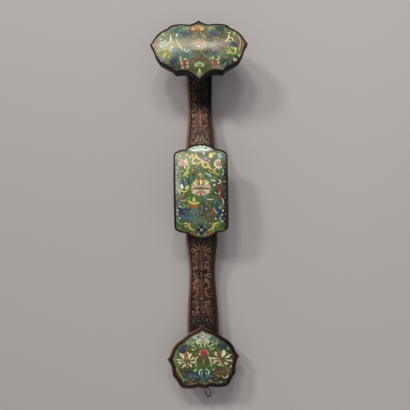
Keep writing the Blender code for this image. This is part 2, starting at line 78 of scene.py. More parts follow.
def newMaterial(name, roughness, metallic=0.0):
    material = bpy.data.materials.new(name)
    material.use_nodes = True
    shader = material.node_tree.nodes["Principled BSDF"]
    shader.inputs["Roughness"].default_value = roughness
    shader.inputs["Metallic"].default_value = metallic
    return material, material.node_tree, shader


def addNode(tree, kind, inputs=None, **settings):
    node = tree.nodes.new("ShaderNode" + kind)
    for key, value in settings.items():
        setattr(node, key, value)
    for key, value in (inputs or {}).items():
        if isinstance(value, bpy.types.NodeSocket):
            tree.links.new(value, node.inputs[key])
        else:
            node.inputs[key].default_value = value
    return node


def scaledCoords(tree, scale=(1, 1, 1)):
    coords = addNode(tree, "TexCoord").outputs["Object"]
    return addNode(tree, "Mapping", {"Vector": coords, "Scale": scale}).outputs["Vector"]


def noise(tree, where, scale, detail=4.0, rough=0.55, distortion=0.0):
    wanted = {"Vector": where, "Scale": scale, "Detail": detail, "Roughness": rough, "Distortion": distortion}
    return addNode(tree, "TexNoise", wanted).outputs["Fac"]


def ramp(tree, value, stops):
    node = addNode(tree, "ValToRGB", {"Fac": value})
    elements = node.color_ramp.elements
    while len(elements) < len(stops):
        elements.new(0.5)
    for element, (place, color) in zip(elements, stops):
        element.position = place
        element.color = (*color, 1.0)
    return node.outputs["Color"]


def mixed(tree, share, first, second, blend="MIX"):
    node = addNode(tree, "Mix", data_type="RGBA", blend_type=blend)
    for socket, value in ((node.inputs[0], share), (node.inputs[6], first), (node.inputs[7], second)):
        if isinstance(value, bpy.types.NodeSocket):
            tree.links.new(value, socket)
        elif isinstance(value, tuple):
            socket.default_value = (*value, 1.0)
        else:
            socket.default_value = value
    return node.outputs[2]


def ranged(tree, value, low, high):
    return addNode(tree, "MapRange", {"Value": value, "To Min": low, "To Max": high}).outputs["Result"]


def bumped(tree, shader, height, distance, strength=1.0):
    wanted = {"Height": height, "Distance": distance, "Strength": strength}
    tree.links.new(addNode(tree, "Bump", wanted).outputs["Normal"], shader.inputs["Normal"])


def rgb(red, green, blue):
    # A colour as a screen shows it, 0 to 255, as the linear values that a shader takes.
    return tuple(
        value / 12.92 if value <= 0.04045 else ((value + 0.055) / 1.055) ** 2.4
        for value in (red / 255, green / 255, blue / 255)
    )


# The curve that the shaft and the mounts lie on

spine = {
    "origin": (0.0, -225.55, 18.25),  # where the curve starts
    "tailCurl": 9.0,
    "tailCurlAtLip": 5.0,
    "tailLength": 78.2,
    "heel": 28.0,
    "lowerRest": 18.0,
    "lowerRun": 118.0,
    "lowerStraight": 37.55,
    "humpRise": 23.5,
    "humpRadius": 128.0,
    "neckRun": 95.0,
    "neckStraight": 25.44,
    "neckRest": 11.0,
    "throatRun": 43.0,
    "throatRise": 15.0,
    "throatStraight": 12.4,
    "throatRadius": 32.0,
    "headBendRadius": 78.0,
    "headTilt": 12.0,
    "pastHead": 15.0,
}


def climb(run, rise, straight, upperRadius):
    # Arcs (length, first heading, last heading) that gain a height and are level at both ends.
    radii = (run * run + rise * rise - straight * straight) / (2 * rise)
    steepest = math.atan2(rise - radii, run) + math.asin(radii / math.hypot(run, rise - radii))
    return [
        ((radii - upperRadius) * steepest, 0.0, steepest),
        (straight, steepest, steepest),
        (upperRadius * steepest, steepest, 0.0),
    ]


def descend(run, drop, straight, upperRadius):
    arcs = climb(run, drop, straight, upperRadius)
    return [(length, -last, -first) for length, first, last in reversed(arcs)]


def arcLength(arcs):
    return sum(length for length, _, _ in arcs)


def spineArcs():
    p = spine
    tail = [
        (p["tailLength"], -deg(p["tailCurl"]), -deg(p["tailCurlAtLip"])),
        (p["heel"], -deg(p["tailCurlAtLip"]), 0.0),
    ]
    lower = climb(p["lowerRun"], p["humpRise"], p["lowerStraight"], p["humpRadius"])
    neck = descend(p["neckRun"], p["humpRise"], p["neckStraight"], p["humpRadius"])
    throat = climb(p["throatRun"], p["throatRise"], p["throatStraight"], p["throatRadius"])
    bend = p["headBendRadius"] * deg(p["headTilt"]) + p["pastHead"]
    arcs = tail + [(p["lowerRest"], 0.0, 0.0)] + lower + neck + [(p["neckRest"], 0.0, 0.0)] + throat
    hump = arcLength(tail) + p["lowerRest"] + arcLength(lower)
    throatStart = hump + arcLength(neck) + p["neckRest"]
    places = {
        "tail": p["tailLength"] / 2,
        "lowerRest": arcLength(tail),
        "hump": hump,
        "throat": throatStart,
        "head": throatStart + arcLength(throat) + p["headBendRadius"] * deg(p["headTilt"]),
    }
    return arcs + [(bend, 0.0, -bend / p["headBendRadius"])], places


def alongArcs(arcs, distance):
    # y, z and heading at each distance along the arcs.
    left = np.asarray(distance, float).copy()
    y, z, heading = np.zeros_like(left), np.zeros_like(left), np.zeros_like(left)
    for index, (length, first, last) in enumerate(arcs):
        part = left if index == len(arcs) - 1 else np.minimum(left, length)
        if index:
            part = np.maximum(part, 0.0)
        turn = (last - first) / length
        now = first + turn * part
        if abs(turn) < 1e-9:
            y = y + part * math.cos(first)
            z = z + part * math.sin(first)
        else:
            y = y + (np.sin(now) - math.sin(first)) / turn
            z = z + (math.cos(first) - np.cos(now)) / turn
        heading = np.where((left > 0) | (index == 0), now, heading)
        left = left - length
    return y, z, heading


arcs, places = spineArcs()


def onCurve(arcs, origin, u, distance, h):
    u, distance, h = np.broadcast_arrays(np.asarray(u, float), distance, h)
    y, z, heading = alongArcs(arcs, distance)
    spots = [origin[0] + u, origin[1] + y - h * np.sin(heading), origin[2] + z + h * np.cos(heading)]
    return np.stack(spots, -1) * mm


# Outlines: the right half of a rim, from its top cusp to its bottom one: across, along, and how far the arc
# to the next point swells outwards.

outlineStep = 1.1


def chordOf(half, index):
    (u, v, swell), (nextU, nextV, _) = half[index], half[index + 1]
    chord = np.array([nextU - u, nextV - v])
    length = math.hypot(*chord)
    return chord, length, np.array([-chord[1], chord[0]]) / length, swell


def insetHalf(half, distance):
    # The half outline moved inwards: its corners along their mitres, its arcs about their own centres.
    def tangent(index, atEnd):
        chord, length, outwards, swell = chordOf(half, index)
        direction = chord / length + (-4 if atEnd else 4) * swell / length * outwards
        return direction / math.hypot(*direction)

    corners = []
    for i in range(len(half)):
        if i == 0:
            after = tangent(0, False)
            before = after * (1, -1)
        elif i == len(half) - 1:
            before = tangent(i - 1, True)
            after = before * (1, -1)
        else:
            before, after = tangent(i - 1, True), tangent(i, False)
        side = np.array([before[1], -before[0]])
        mitre = side + np.array([after[1], -after[0]])
        mitre /= math.hypot(*mitre)
        corners.append(np.array(half[i][:2]) + mitre * distance / max(mitre @ side, 0.5))
    moved = []
    for i, corner in enumerate(corners):
        swell = half[i][2]
        if i < len(half) - 1 and swell:
            was = math.dist(half[i][:2], half[i + 1][:2])
            now = math.dist(corner, corners[i + 1])
            swell = now * now / (8 * (was * was / (8 * swell) - distance))
        moved.append((float(corner[0]), float(corner[1]), swell))
    return moved


def outlineOf(half, like=None):
    # The closed outline, clockwise from the top cusp. Outlines made like one rim have equal counts.
    right = []
    for i in range(len(half) - 1):
        chord, _, outwards, swell = chordOf(half, i)
        count = max(2, math.ceil(chordOf(like or half, i)[1] / outlineStep))
        for t in np.arange(count) / count:
            right.append(np.array(half[i][:2]) + chord * t + outwards * 4 * swell * t * (1 - t))
    left = [point * (-1, 1) for point in reversed(right[1:])]
    return np.array(right + [np.array(half[-1][:2])] + left)


# Meshes

def addObject(name, verts, faces, material, smoothAngle=32.0):
    data = bpy.data.meshes.new(name)
    data.from_pydata(np.asarray(verts).tolist(), [], faces)
    data.materials.append(material)
    data.shade_smooth()
    data.set_sharp_from_angle(angle=deg(smoothAngle))
    piece = bpy.data.objects.new(name, data)
    bpy.context.scene.collection.objects.link(piece)
    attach(piece, "root")
    return piece


def loftFaces(rings, count):
    # Rings of equal counts joined by quads, with both ends closed.
    faces = []
    for ring in range(rings - 1):
        low, high = ring * count, (ring + 1) * count
        for i in range(count):
            j = (i + 1) % count
            faces.append((low + i, low + j, high + j, high + i))
    return faces + [tuple(reversed(range(count))), tuple(range((rings - 1) * count, rings * count))]


def facingOut(piece):
    mesh = bmesh.new()
    mesh.from_mesh(piece.data)
    bmesh.ops.recalc_face_normals(mesh, faces=mesh.faces)
    mesh.to_mesh(piece.data)
    mesh.free()


def filled(outline, spacing):
    # A triangular grid inside an outline, joined to it by triangles. The outline's points come first.
    low, high = outline.min(0), outline.max(0)
    rows = []
    for row, v in enumerate(np.arange(low[1] + spacing / 2, high[1], spacing * math.sqrt(0.75))):
        shift = spacing / 2 * (row % 2)
        rows += [(u, v) for u in np.arange(low[0] + shift, high[0], spacing)]
    grid = np.array(rows)
    grid = grid[signedDistance(outline, grid) < -0.45 * spacing]
    points = [Vector(point) for point in np.vstack([outline, grid])]
    loop = [list(range(len(outline)))]
    verts, _, faces, _, _, _ = delaunay_2d_cdt(points, [], loop, 1, 1e-6)
    return np.array([tuple(vert) for vert in verts]), [tuple(face) for face in faces]


def signedDistance(outline, points):
    # Below zero inside the closed outline.
    inside = np.zeros(len(points), bool)
    nearest = np.full(len(points), np.inf)
    x, y = points[:, 0], points[:, 1]
    for (ax, ay), (bx, by) in zip(outline, np.roll(outline, -1, 0)):
        if ay != by:
            crosses = (ay > y) != (by > y)
            inside ^= crosses & (x < (bx - ax) * (y - ay) / (by - ay) + ax)
        length = max((bx - ax) ** 2 + (by - ay) ** 2, 1e-12)
        t = np.clip(((x - ax) * (bx - ax) + (y - ay) * (by - ay)) / length, 0, 1)
        nearest = np.minimum(nearest, (x - ax - t * (bx - ax)) ** 2 + (y - ay - t * (by - ay)) ** 2)
    return np.where(inside, -1, 1) * np.sqrt(nearest)


# Cord: up out of the hole in the tail's tip, over the edge, down to the floor, round, and back into the hole

cord = {
    "diameter": 1.2,
    "exit": (1.3, -221.0, 28.6),
    "spacing": 0.8,
    "plies": 3,
    "plyDepth": 0.16,  # share of the radius
    "turnLength": 5.0,
    "sides": 15,
    "fibres": 2600,
    "fading": 90,
    "dark": rgb(62, 34, 26),
    "light": rgb(118, 74, 58),
    "faded": rgb(92, 66, 56),
    "route": (
        (1.3, -221.5, 24.0),
        (1.3, -221.1, 26.6),
        (1.3, -221.0, 29.2),
        (1.2, -221.7, 31.5),
        (1.1, -223.4, 32.9),
        (0.9, -225.6, 32.8),
        (0.7, -227.3, 31.2),
        (0.4, -228.2, 28.6),
        (0.2, -228.6, 25.6),
        (0.0, -228.9, 22.0),
        (0.0, -229.9, 16.6),
        (0.5, -231.6, 10.6),
        (1.4, -234.0, 5.2),
        (2.35, -236.9, 1.7),
        (2.85, -239.4, 0.75),
        (3.8, -241.5, 0.7),
        (5.9, -242.4, 0.7),
        (8.0, -241.5, 0.7),
        (8.9, -239.4, 0.75),
        (8.4, -236.3, 1.6),
        (7.4, -232.8, 4.0),
        (6.0, -229.8, 7.4),
        (4.4, -227.0, 11.2),
        (2.9, -224.6, 14.6),
        (1.8, -222.9, 17.6),
        (1.4, -222.2, 20.2),
        (1.3, -221.8, 22.4),
    ),
}


def smoothThrough(points, spacing):
    # Evenly spaced points on a smooth curve through the given ones.
    points = [Vector(point) for point in points]
    padded = [points[0] * 2 - points[1], *points, points[-1] * 2 - points[-2]]
    fine = []
    for before, start, end, after in zip(padded, padded[1:], padded[2:], padded[3:]):
        leaving, arriving = (end - before) / 2, (after - start) / 2
        for t in np.arange(12) / 12:
            fine.append(
                start * (2 * t**3 - 3 * t**2 + 1)
                + leaving * (t**3 - 2 * t**2 + t)
                + end * (3 * t**2 - 2 * t**3)
                + arriving * (t**3 - t**2)
            )
    fine.append(points[-1])
    reached = [0.0]
    for start, end in zip(fine, fine[1:]):
        reached.append(reached[-1] + (end - start).length)
    count = round(reached[-1] / spacing)
    spaced = []
    for i in range(count + 1):
        wanted = reached[-1] * i / count
        index = min(bisect.bisect_right(reached, wanted), len(fine) - 1)
        share = (wanted - reached[index - 1]) / (reached[index] - reached[index - 1])
        spaced.append(fine[index - 1].lerp(fine[index], share))
    return spaced, reached[-1]


def silkMaterial():
    material, tree, shader = newMaterial("silkCord", 0.62)
    where = scaledCoords(tree)
    fibres = noise(tree, where, cord["fibres"], 3.0)
    fading = noise(tree, where, cord["fading"], 3.0)
    color = ramp(tree, fibres, [(0.3, cord["dark"]), (0.7, cord["light"])])
    color = mixed(tree, ranged(tree, fading, 0.0, 0.5), color, cord["faded"])
    tree.links.new(color, shader.inputs["Base Color"])
    shader.inputs["Sheen Weight"].default_value = 0.3
    bumped(tree, shader, fibres, 0.00008)
    return material


def makeCord():
    path, length = smoothThrough(cord["route"], cord["spacing"])
    radius = cord["diameter"] / 2
    side = Vector((1, 0, 0))
    verts = []
    for i, point in enumerate(path):
        ahead = (path[min(i + 1, len(path) - 1)] - path[max(i - 1, 0)]).normalized()
        side = (side - ahead * side.dot(ahead)).normalized()
        up = ahead.cross(side)
        twist = 2 * math.pi * i * cord["spacing"] / cord["turnLength"]
        for k in range(cord["sides"]):
            angle = 2 * math.pi * k / cord["sides"]
            lobe = abs(math.cos(cord["plies"] * (angle - twist) / 2))
            reach = radius * (1 - cord["plyDepth"] * (1 - lobe))
            verts.append((point + side * math.cos(angle) * reach + up * math.sin(angle) * reach) * mm)
    faces = loftFaces(len(path), cord["sides"])
    piece = addObject("tasselCord", verts, faces, silkMaterial(), 60.0)
    facingOut(piece)
    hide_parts("tassel_cord")


makeCord()
print("cord: made")


# Floor and lamps

room = {
    "floorSize": 6000,
    "floor": rgb(184, 176, 172),
    "mottle": 0.94,  # of its colour, in its faint clouds
    "leftShade": 0.84,  # of its colour, at the left end of a painted shade that darkens the floor towards the left
    "leftShadeAcross": (-260.0, 200.0),
    "sky": rgb(232, 234, 238),
    "skyStrength": 0.5,
    "lampHeight": 1650,
    "lampSize": 400,
    # across and along from the head, as shares of the lamp's height above it, and watts
    "lamps": ((0.07, 0.90, 10.0), (-0.33, 0.92, 16.0), (-1.00, 0.95, 28.0)),
    "headAt": (0.0, 186.0, 50.0),
}


def makeFloor():
    half = room["floorSize"] / 2 * mm
    verts = [(-half, -half, 0), (half, -half, 0), (half, half, 0), (-half, half, 0)]
    material, tree, shader = newMaterial("paperFloor", 0.9)
    where = scaledCoords(tree)
    # painted shade: the floor is darker towards the left
    darker, faded = (tuple(value * room[key] for value in room["floor"]) for key in ("mottle", "leftShade"))
    paper = mixed(tree, noise(tree, where, 3.0, 2.0), room["floor"], darker)
    across = addNode(tree, "SeparateXYZ", {"Vector": where}).outputs["X"]
    left, right = (value * mm for value in room["leftShadeAcross"])
    shift = addNode(tree, "MapRange", {"Value": across, "From Min": left, "From Max": right})
    tree.links.new(mixed(tree, shift.outputs["Result"], faded, paper), shader.inputs["Base Color"])
    data = bpy.data.meshes.new("floor")
    data.from_pydata(verts, [], [(0, 1, 2, 3)])
    data.materials.append(material)
    floor = bpy.data.objects.new("floor", data)
    bpy.context.scene.collection.objects.link(floor)


def lightRoom():
    lit = Vector(room["headAt"])
    for number, (across, along, watts) in enumerate(room["lamps"], 1):
        data = bpy.data.lights.new(f"lamp{number}", "AREA")
        data.shape = "DISK"
        data.size = room["lampSize"] * mm
        data.energy = watts
        lamp = bpy.data.objects.new(f"lamp{number}", data)
        lamp.location = (lit + Vector((across, along, 1)) * (room["lampHeight"] - lit.z)) * mm
        lamp.rotation_euler = (lit * mm - lamp.location).to_track_quat("-Z", "Y").to_euler()
        bpy.context.scene.collection.objects.link(lamp)

    world = bpy.data.worlds.new("room")
    world.use_nodes = True
    sky = world.node_tree.nodes["Background"]
    sky.inputs["Color"].default_value = (*room["sky"], 1)
    sky.inputs["Strength"].default_value = room["skyStrength"]
    bpy.context.scene.world = world
    bpy.context.scene.view_settings.view_transform = "Standard"


makeFloor()
lightRoom()
print("room: floor and lamps")


# Mounts: the three carved trays that carry the plaques

layers = {
    "gap": 0.3,
    "trayFloor": 4.0,
    "bed": 0.8,
    "plate": 0.9,
    "enamel": 1.3,
    "rimProud": 0.7,
}
head = {
    "name": "head",
    "rim": (
        (0.0, 39.4, -1.3),
        (12.0, 31.0, 1.8),
        (33.5, 30.2, 0.5),
        (37.3, 25.6, 2.0),
        (53.6, 10.0, -0.2),
        (58.0, 3.4, -0.6),
        (53.8, -5.0, 0.9),
        (46.4, -19.2, 0.2),
        (32.2, -26.6, 0.4),
        (27.6, -30.8, -1.4),
        (11.6, -31.3, -0.4),
        (0.0, -39.9, 0.0),
    ),
    "rimWidth": 1.8,
    "seat": 5.65,
    "bow": 108.0,
    "wallDepth": 13.5,
    "bossDepth": 10.5,
    "boss": (38.0, 36.0),
    "bossEdge": 1.5,
    # from the wall's foot to the boss: shares of the way across and of the way down
    "flare": (
        (0.1, 0.0), (0.25, 0.03), (0.4, 0.08), (0.55, 0.16),
        (0.72, 0.3), (0.86, 0.5), (0.95, 0.75), (1.0, 1.0),
    ),
    "crown": 3.8,
}
center = {
    "name": "center",
    "rim": (
        (0.0, 54.5, 1.9),
        (18.4, 46.8, 0.6),
        (28.0, 44.8, 1.4),
        (32.5, 38.4, 0.0),
        (32.5, -38.4, 1.4),
        (28.0, -44.8, 0.6),
        (18.4, -46.8, 1.9),
        (0.0, -54.5, 0.0),
    ),
    "rimWidth": 1.8,
    "seat": 5.2,
    "offset": 1.5,
    "crown": 3.0,
}
tail = {
    "name": "tail",
    "rim": (
        (0.0, 39.1, -1.0),
        (12.5, 31.4, 0.5),
        (25.5, 22.6, 2.4),
        (39.8, 5.6, -0.5),
        (44.5, -0.9, -0.9),
        (39.0, -13.0, 0.2),
        (37.8, -22.0, -0.4),
        (31.8, -30.4, 1.9),
        (22.0, -36.8, 0.8),
        (8.0, -35.6, -0.4),
        (0.0, -39.1, 0.0),
    ),
    "rimWidth": 4.1,
    "seat": 2.1,
    "crown": 3.2,
    "skew": 2.0,
}


def settleMount(m, middle, floor, arcs=arcs, origin=spine["origin"]):
    gap = layers["gap"]
    m["under"] = m["seat"] + gap
    m["floor"] = m["under"] + floor
    m["bed"] = m["floor"] + gap
    m["plate"] = m["bed"] + layers["bed"] + gap
    m["enamel"] = m["plate"] + layers["plate"] + gap
    m["enamelTop"] = m["enamel"] + layers["enamel"]
    m["top"] = m["enamelTop"] + layers["rimProud"]
    recess = outlineOf(insetHalf(m["rim"], m["rimWidth"]))
    m["halfWidth"], m["halfLength"] = recess[:, 0].max(), abs(recess[:, 1]).max()
    m["arcs"], m["origin"], m["middle"] = arcs, origin, middle


def settleMounts():
    settleMount(center, places["hump"] + center["offset"], layers["trayFloor"])
    settleMount(tail, places["tail"], layers["trayFloor"])
    y, z, heading = (float(value) for value in alongArcs(arcs, places["head"]))
    x0, y0, z0 = spine["origin"]
    aboveFloor = 3 * layers["gap"] + sum(layers[key] for key in ("bed", "plate", "enamel", "rimProud"))
    depth = head["wallDepth"] + head["bossDepth"] - aboveFloor
    settleMount(head, 0.0, depth, [(1.0, heading, heading)], (x0, y0 + y, z0 + z))


def rimLine(m, inwards):
    # The rim's outline moved inwards, with as many points as the rim itself.
    return outlineOf(insetHalf(m["rim"], inwards), m["rim"])


def rotated(u, v, angle):
    return u * np.cos(angle) - v * np.sin(angle), u * np.sin(angle) + v * np.cos(angle)


def onMount(m, u, v, h):
    across, along = rotated(u, v, deg(m.get("skew", 0.0)))
    if "bow" in m:
        # Its walls stay square to a straight line, while its layers sink towards both ends.
        h = h - m["bow"] + np.sqrt(m["bow"] ** 2 - along**2)
    return onCurve(m["arcs"], m["origin"], across, m["middle"] + along, h)


def domed(m, u, v, h):
    # On the mount, and lifted by the dome of its plaque above the bottom of the bed.
    u, v, h = np.broadcast_arrays(np.asarray(u, float), v, h)
    share = np.clip((h - m["bed"]) / layers["bed"], 0, 1)
    across = np.clip(1 - (u / m["halfWidth"]) ** 2, 0, 1)
    along = np.clip(1 - (v / m["halfLength"]) ** 2, 0, 1)
    return onMount(m, u, v, h + m["crown"] * across * along * share)


settleMounts()


wood = {
    "specular": 0.16,
    "roughness": (0.36, 0.56),
    "grainScale": 620,
    "grainStretch": (1, 0.09, 1),
    "poreScale": 2400,
    "poreStretch": (1, 0.16, 1),
    "poreDepth": 0.00006,
    "speckScale": 1100,
    "speckShare": 0.8,
    "grain": ((0.3, (0.72, 0.7, 0.7)), (0.5, (1.0, 1.0, 1.0)), (0.72, (1.3, 1.26, 1.22))),
    "specks": ((0.35, (0.55, 0.55, 0.55)), (0.5, (1.0, 1.0, 1.0)), (0.66, (1.55, 1.5, 1.45))),
}


def woodMaterial(name):
    # Its colours are those that each piece's "woodColor" gives, under the grain.
    material, tree, shader = newMaterial(name, wood["roughness"][0])
    shader.inputs["Specular IOR Level"].default_value = wood["specular"]
    grain = noise(tree, scaledCoords(tree, wood["grainStretch"]), wood["grainScale"], 6.0, 0.6, 0.6)
    pores = noise(tree, scaledCoords(tree, wood["poreStretch"]), wood["poreScale"], 2.0)
    color = addNode(tree, "Attribute", attribute_name="woodColor").outputs["Color"]
    color = mixed(tree, 1.0, color, ramp(tree, grain, wood["grain"]), "MULTIPLY")
    specks = noise(tree, scaledCoords(tree), wood["speckScale"], 4.0, 0.7)
    color = mixed(tree, wood["speckShare"], color, ramp(tree, specks, wood["specks"]), "MULTIPLY")
    tree.links.new(color, shader.inputs["Base Color"])
    tree.links.new(ranged(tree, grain, *wood["roughness"]), shader.inputs["Roughness"])
    bumped(tree, shader, pores, wood["poreDepth"], 0.6)
    return material


woodColors = {
    "lacquer": rgb(26, 20, 19),
    "ground": rgb(60, 34, 24),
    # nearly black: soot in the carving's hollows, and painted shade where the head and the mounts cast their
    # shadows on the shaft
    "soot": rgb(20, 14, 13),
    "side": rgb(48, 30, 23),
    "edge": rgb(112, 84, 73),
    "lip": rgb(132, 96, 80),
    "top": rgb(108, 70, 51),
    "worn": rgb(130, 90, 69),
    # pale dust on the carved tops, and painted highlight
    "dusty": rgb(160, 124, 100),
    "honey": rgb(122, 84, 48),
    "red": rgb(100, 44, 32),
    "rose": rgb(124, 78, 64),
    "grey": rgb(66, 57, 53),
    "ash": rgb(156, 138, 124),
    # the pale of the small beads: dust and painted highlight
    "bead": rgb(190, 160, 132),
    "wine": rgb(92, 30, 34),
}


def colorAttribute(piece, name, colors):
    layer = piece.data.attributes.new(name, "FLOAT_COLOR", "POINT")
    layer.data.foreach_set("color", np.hstack([colors, np.ones((len(colors), 1))]).astype(np.float32).ravel())


rimProfile = {
    "rounding": 0.8,
    "innerRounding": 0.3,  # at most, as a share of the rim's width
    "steps": 4,
    "wallTop": 0.6,  # of the recess, down from the glass
    "wide": 3.0,  # a rim wider than this has two ridges
    # the wide rim's two ridges: shares of its width, and down from the top
    "doubleRidge": ((0.64, 0.02), (0.56, 0.6), (0.5, 0.8), (0.44, 0.6), (0.36, 0.05)),
    # the outer wall: in from the rim and down from the top, then in from the rim and up from its foot
    "shoulder": ((0.0, 1.8), (0.2, 2.2), (0.5, 2.7)),
    "foot": ((1.0, 1.6), (1.5, 0.9), (1.9, 0.3), (2.6, 0.0)),
    "headFoot": ((0.6, 6.0), (0.7, 3.2), (1.1, 1.7), (1.8, 0.7), (2.9, 0.15)),
}
# Painted light on the rims: the tail's rim is browner at its upper left, where the lamps light it, most on
# its worn outer ridge; the other rims are browner towards their upper end.
rimLightAndWear = {
    "depth": 1.0,  # down from the top; below it, on the tail, the wall takes some of the painted light of the rim's outer edge
    # shares of painted light at the middle of the tail, and the distance that adds one share: towards its
    # left and its top
    "left": (0.45, -36.0),
    "upper": (0.42, 46.0),
    "leastUpper": 0.3,
    "least": 0.05,
    # the tail's right tip is tinged with red
    "wineAcross": (38.0, 43.0),
    "wineShare": 0.6,
    "sideShare": 0.35,
}


def ridgeLightAndWear(share):
    # How much painted light and wear the tail's rim takes at a share of its width: most on its outer ridge,
    # less on the inner one.
    if share == 0:
        return 0.3
    if share < 0.36:
        return 1.0
    return 0.55 if 0.6 < share < 0.8 else 0.1


def shifted(tones, name, shares):
    # Tones moved towards a named colour of the wood.
    return tones + (np.array(woodColors[name]) - tones) * shares[:, None]


def rimTone(m, points, inwards):
    # Nearly black, with painted light in brown: on the tail most at its upper left and on its worn outer
    # ridge, on the other trays towards their upper end.
    tone = np.tile(woodColors["lacquer"], (len(points), 1))
    share = inwards / m["rimWidth"]
    if m is tail:
        (leftBase, leftReach), (upperBase, upperReach) = rimLightAndWear["left"], rimLightAndWear["upper"]
        left = np.clip(leftBase + points[:, 0] / leftReach, 0, 1)
        upper = np.clip(upperBase + points[:, 1] / upperReach, rimLightAndWear["leastUpper"], 1)
        tone = shifted(tone, "lip", np.clip(left * upper, rimLightAndWear["least"], 1) * ridgeLightAndWear(share))
        wine = np.interp(points[:, 0], rimLightAndWear["wineAcross"], (0, rimLightAndWear["wineShare"]))
        return shifted(tone, "wine", wine)
    # painted light on the head's and the centre's rims: browner towards their upper end
    low = np.clip(-points[:, 1] / m["halfLength"], 0, 1)
    return shifted(tone, "side", rimLightAndWear["sideShare"] * (1 - low) * (0 < share < 1))


def quarterArc(steps, radius):
    # (in from the wall, down from the top), from the wall to the top.
    angles = np.linspace(0, math.pi / 2, steps + 1)
    return [(radius * (1 - math.cos(angle)), radius * (1 - math.sin(angle))) for angle in angles]


def rimRings(m):
    # (inset, height) down the recess's wall, over the rim and down to the start of the outer wall.
    width, top, steps = m["rimWidth"], m["top"], rimProfile["steps"]
    inner = min(rimProfile["rounding"], width * rimProfile["innerRounding"])
    rings = [(width, m["floor"]), (width, m["enamelTop"] - rimProfile["wallTop"])]
    rings += [(width - across, top - down) for across, down in quarterArc(steps, inner)]
    if width > rimProfile["wide"]:
        rings += [(width * across, top - down) for across, down in rimProfile["doubleRidge"]]
    outer = reversed(quarterArc(steps, rimProfile["rounding"]))
    return rings + [(across, top - down) for across, down in outer]


def underRings(m):
    rings = [(inwards, m["top"] - down) for inwards, down in rimProfile["shoulder"]]
    if m is head:
        return rings + [(inwards, m["top"] - m["wallDepth"] + up) for inwards, up in rimProfile["headFoot"]]
    return rings + [(inwards, m["under"] + up) for inwards, up in rimProfile["foot"]]


def roundedBlock(outline, width, length):
    reach = (abs(2 * outline[:, 0] / width) ** 3 + abs(2 * outline[:, 1] / length) ** 3) ** (1 / 3)
    return outline / reach[:, None]


def makeMount(m, material):
    rings, tones = [], []
    for inwards, h in rimRings(m) + underRings(m):
        points = rimLine(m, inwards)
        rings.append(domed(m, points[:, 0], points[:, 1], h))
        tones.append(rimTone(m, points, inwards if h > m["top"] - rimLightAndWear["depth"] else 0))
    if m is head:
        outer = outlineOf(m["rim"])
        boss = roundedBlock(outer, *m["boss"])
        edge, foot = m["top"] - m["wallDepth"], m["under"] + m["bossEdge"]
        for share, down in m["flare"]:
            points = outer + (boss - outer) * share
            rings.append(onMount(m, points[:, 0], points[:, 1], edge + (foot - edge) * down))
        rings.append(onMount(m, boss[:, 0], boss[:, 1], m["under"]))
    faces = loftFaces(len(rings), len(rings[0]))
    piece = addObject(m["name"] + "Tray", np.vstack(rings), faces, material)
    facingOut(piece)
    tones += [tones[-1]] * (len(rings) - len(tones))
    colorAttribute(piece, "woodColor", np.vstack(tones))
    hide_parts(m["name"] + "_mount")


def makeMounts():
    material = woodMaterial("trayWood")
    for m in (head, center, tail):
        makeMount(m, material)


makeMounts()
print("mounts: three trays")


# Plaques

enamelColors = {
    "jade": rgb(84, 116, 76),
    "fern": rgb(62, 96, 48),
    "dusk": rgb(100, 112, 94),
    "haze": rgb(166, 170, 156),
    "taupe": rgb(122, 108, 94),
    "fawn": rgb(190, 158, 132),
    "umber": rgb(108, 76, 58),
    "copper": rgb(196, 134, 82),
    "butter": rgb(216, 202, 132),
    "sprout": rgb(172, 186, 120),
    "leaf": rgb(66, 112, 42),
    "moss": rgb(124, 138, 78),
    "olive": rgb(84, 84, 42),
    "pine": rgb(36, 54, 40),
    "mist": rgb(126, 146, 122),
    "teal": rgb(68, 112, 102),
    "deepTeal": rgb(42, 82, 78),
    "ice": rgb(182, 216, 206),
    "slate": rgb(108, 130, 138),
    "steel": rgb(60, 82, 104),
    "blue": rgb(76, 108, 176),
    "navy": rgb(28, 30, 84),
    "midnight": rgb(26, 44, 74),
    "sage": rgb(122, 130, 100),
    "bronze": rgb(112, 88, 60),
    "bark": rgb(82, 62, 36),
    "violet": rgb(134, 124, 152),
    "black": rgb(18, 24, 24),
    "white": rgb(238, 240, 226),
    "cream": rgb(228, 222, 184),
    "shell": rgb(206, 190, 172),
    "sand": rgb(178, 172, 140),
    "straw": rgb(208, 206, 144),
    "lemon": rgb(220, 208, 108),
    "lime": rgb(150, 170, 54),
    "peach": rgb(192, 146, 98),
    "ochre": rgb(196, 150, 66),
    "apricot": rgb(220, 172, 118),
    "tan": rgb(150, 118, 88),
    "brown": rgb(84, 56, 34),
    "rust": rgb(156, 88, 48),
    "brick": rgb(134, 68, 48),
    "red": rgb(154, 56, 38),
    "salmon": rgb(204, 112, 92),
    "blush": rgb(222, 176, 158),
    "rose": rgb(190, 138, 122),
    "pink": rgb(190, 130, 138),
}


enamel = {
    "specular": 0.3,
    "roughness": (0.22, 0.38),
    "clouds": 260,
    "cloudTones": ((0.3, (0.82, 0.84, 0.84)), (0.7, (1.12, 1.1, 1.08))),
    "pits": 1500,
    "ripples": 420,
    "rippleDepth": 0.00012,
}
gilt = {
    "wear": 340,
    "worn": rgb(84, 62, 42),
    "bright": rgb(168, 134, 80),
    "roughness": (0.5, 0.3),
}


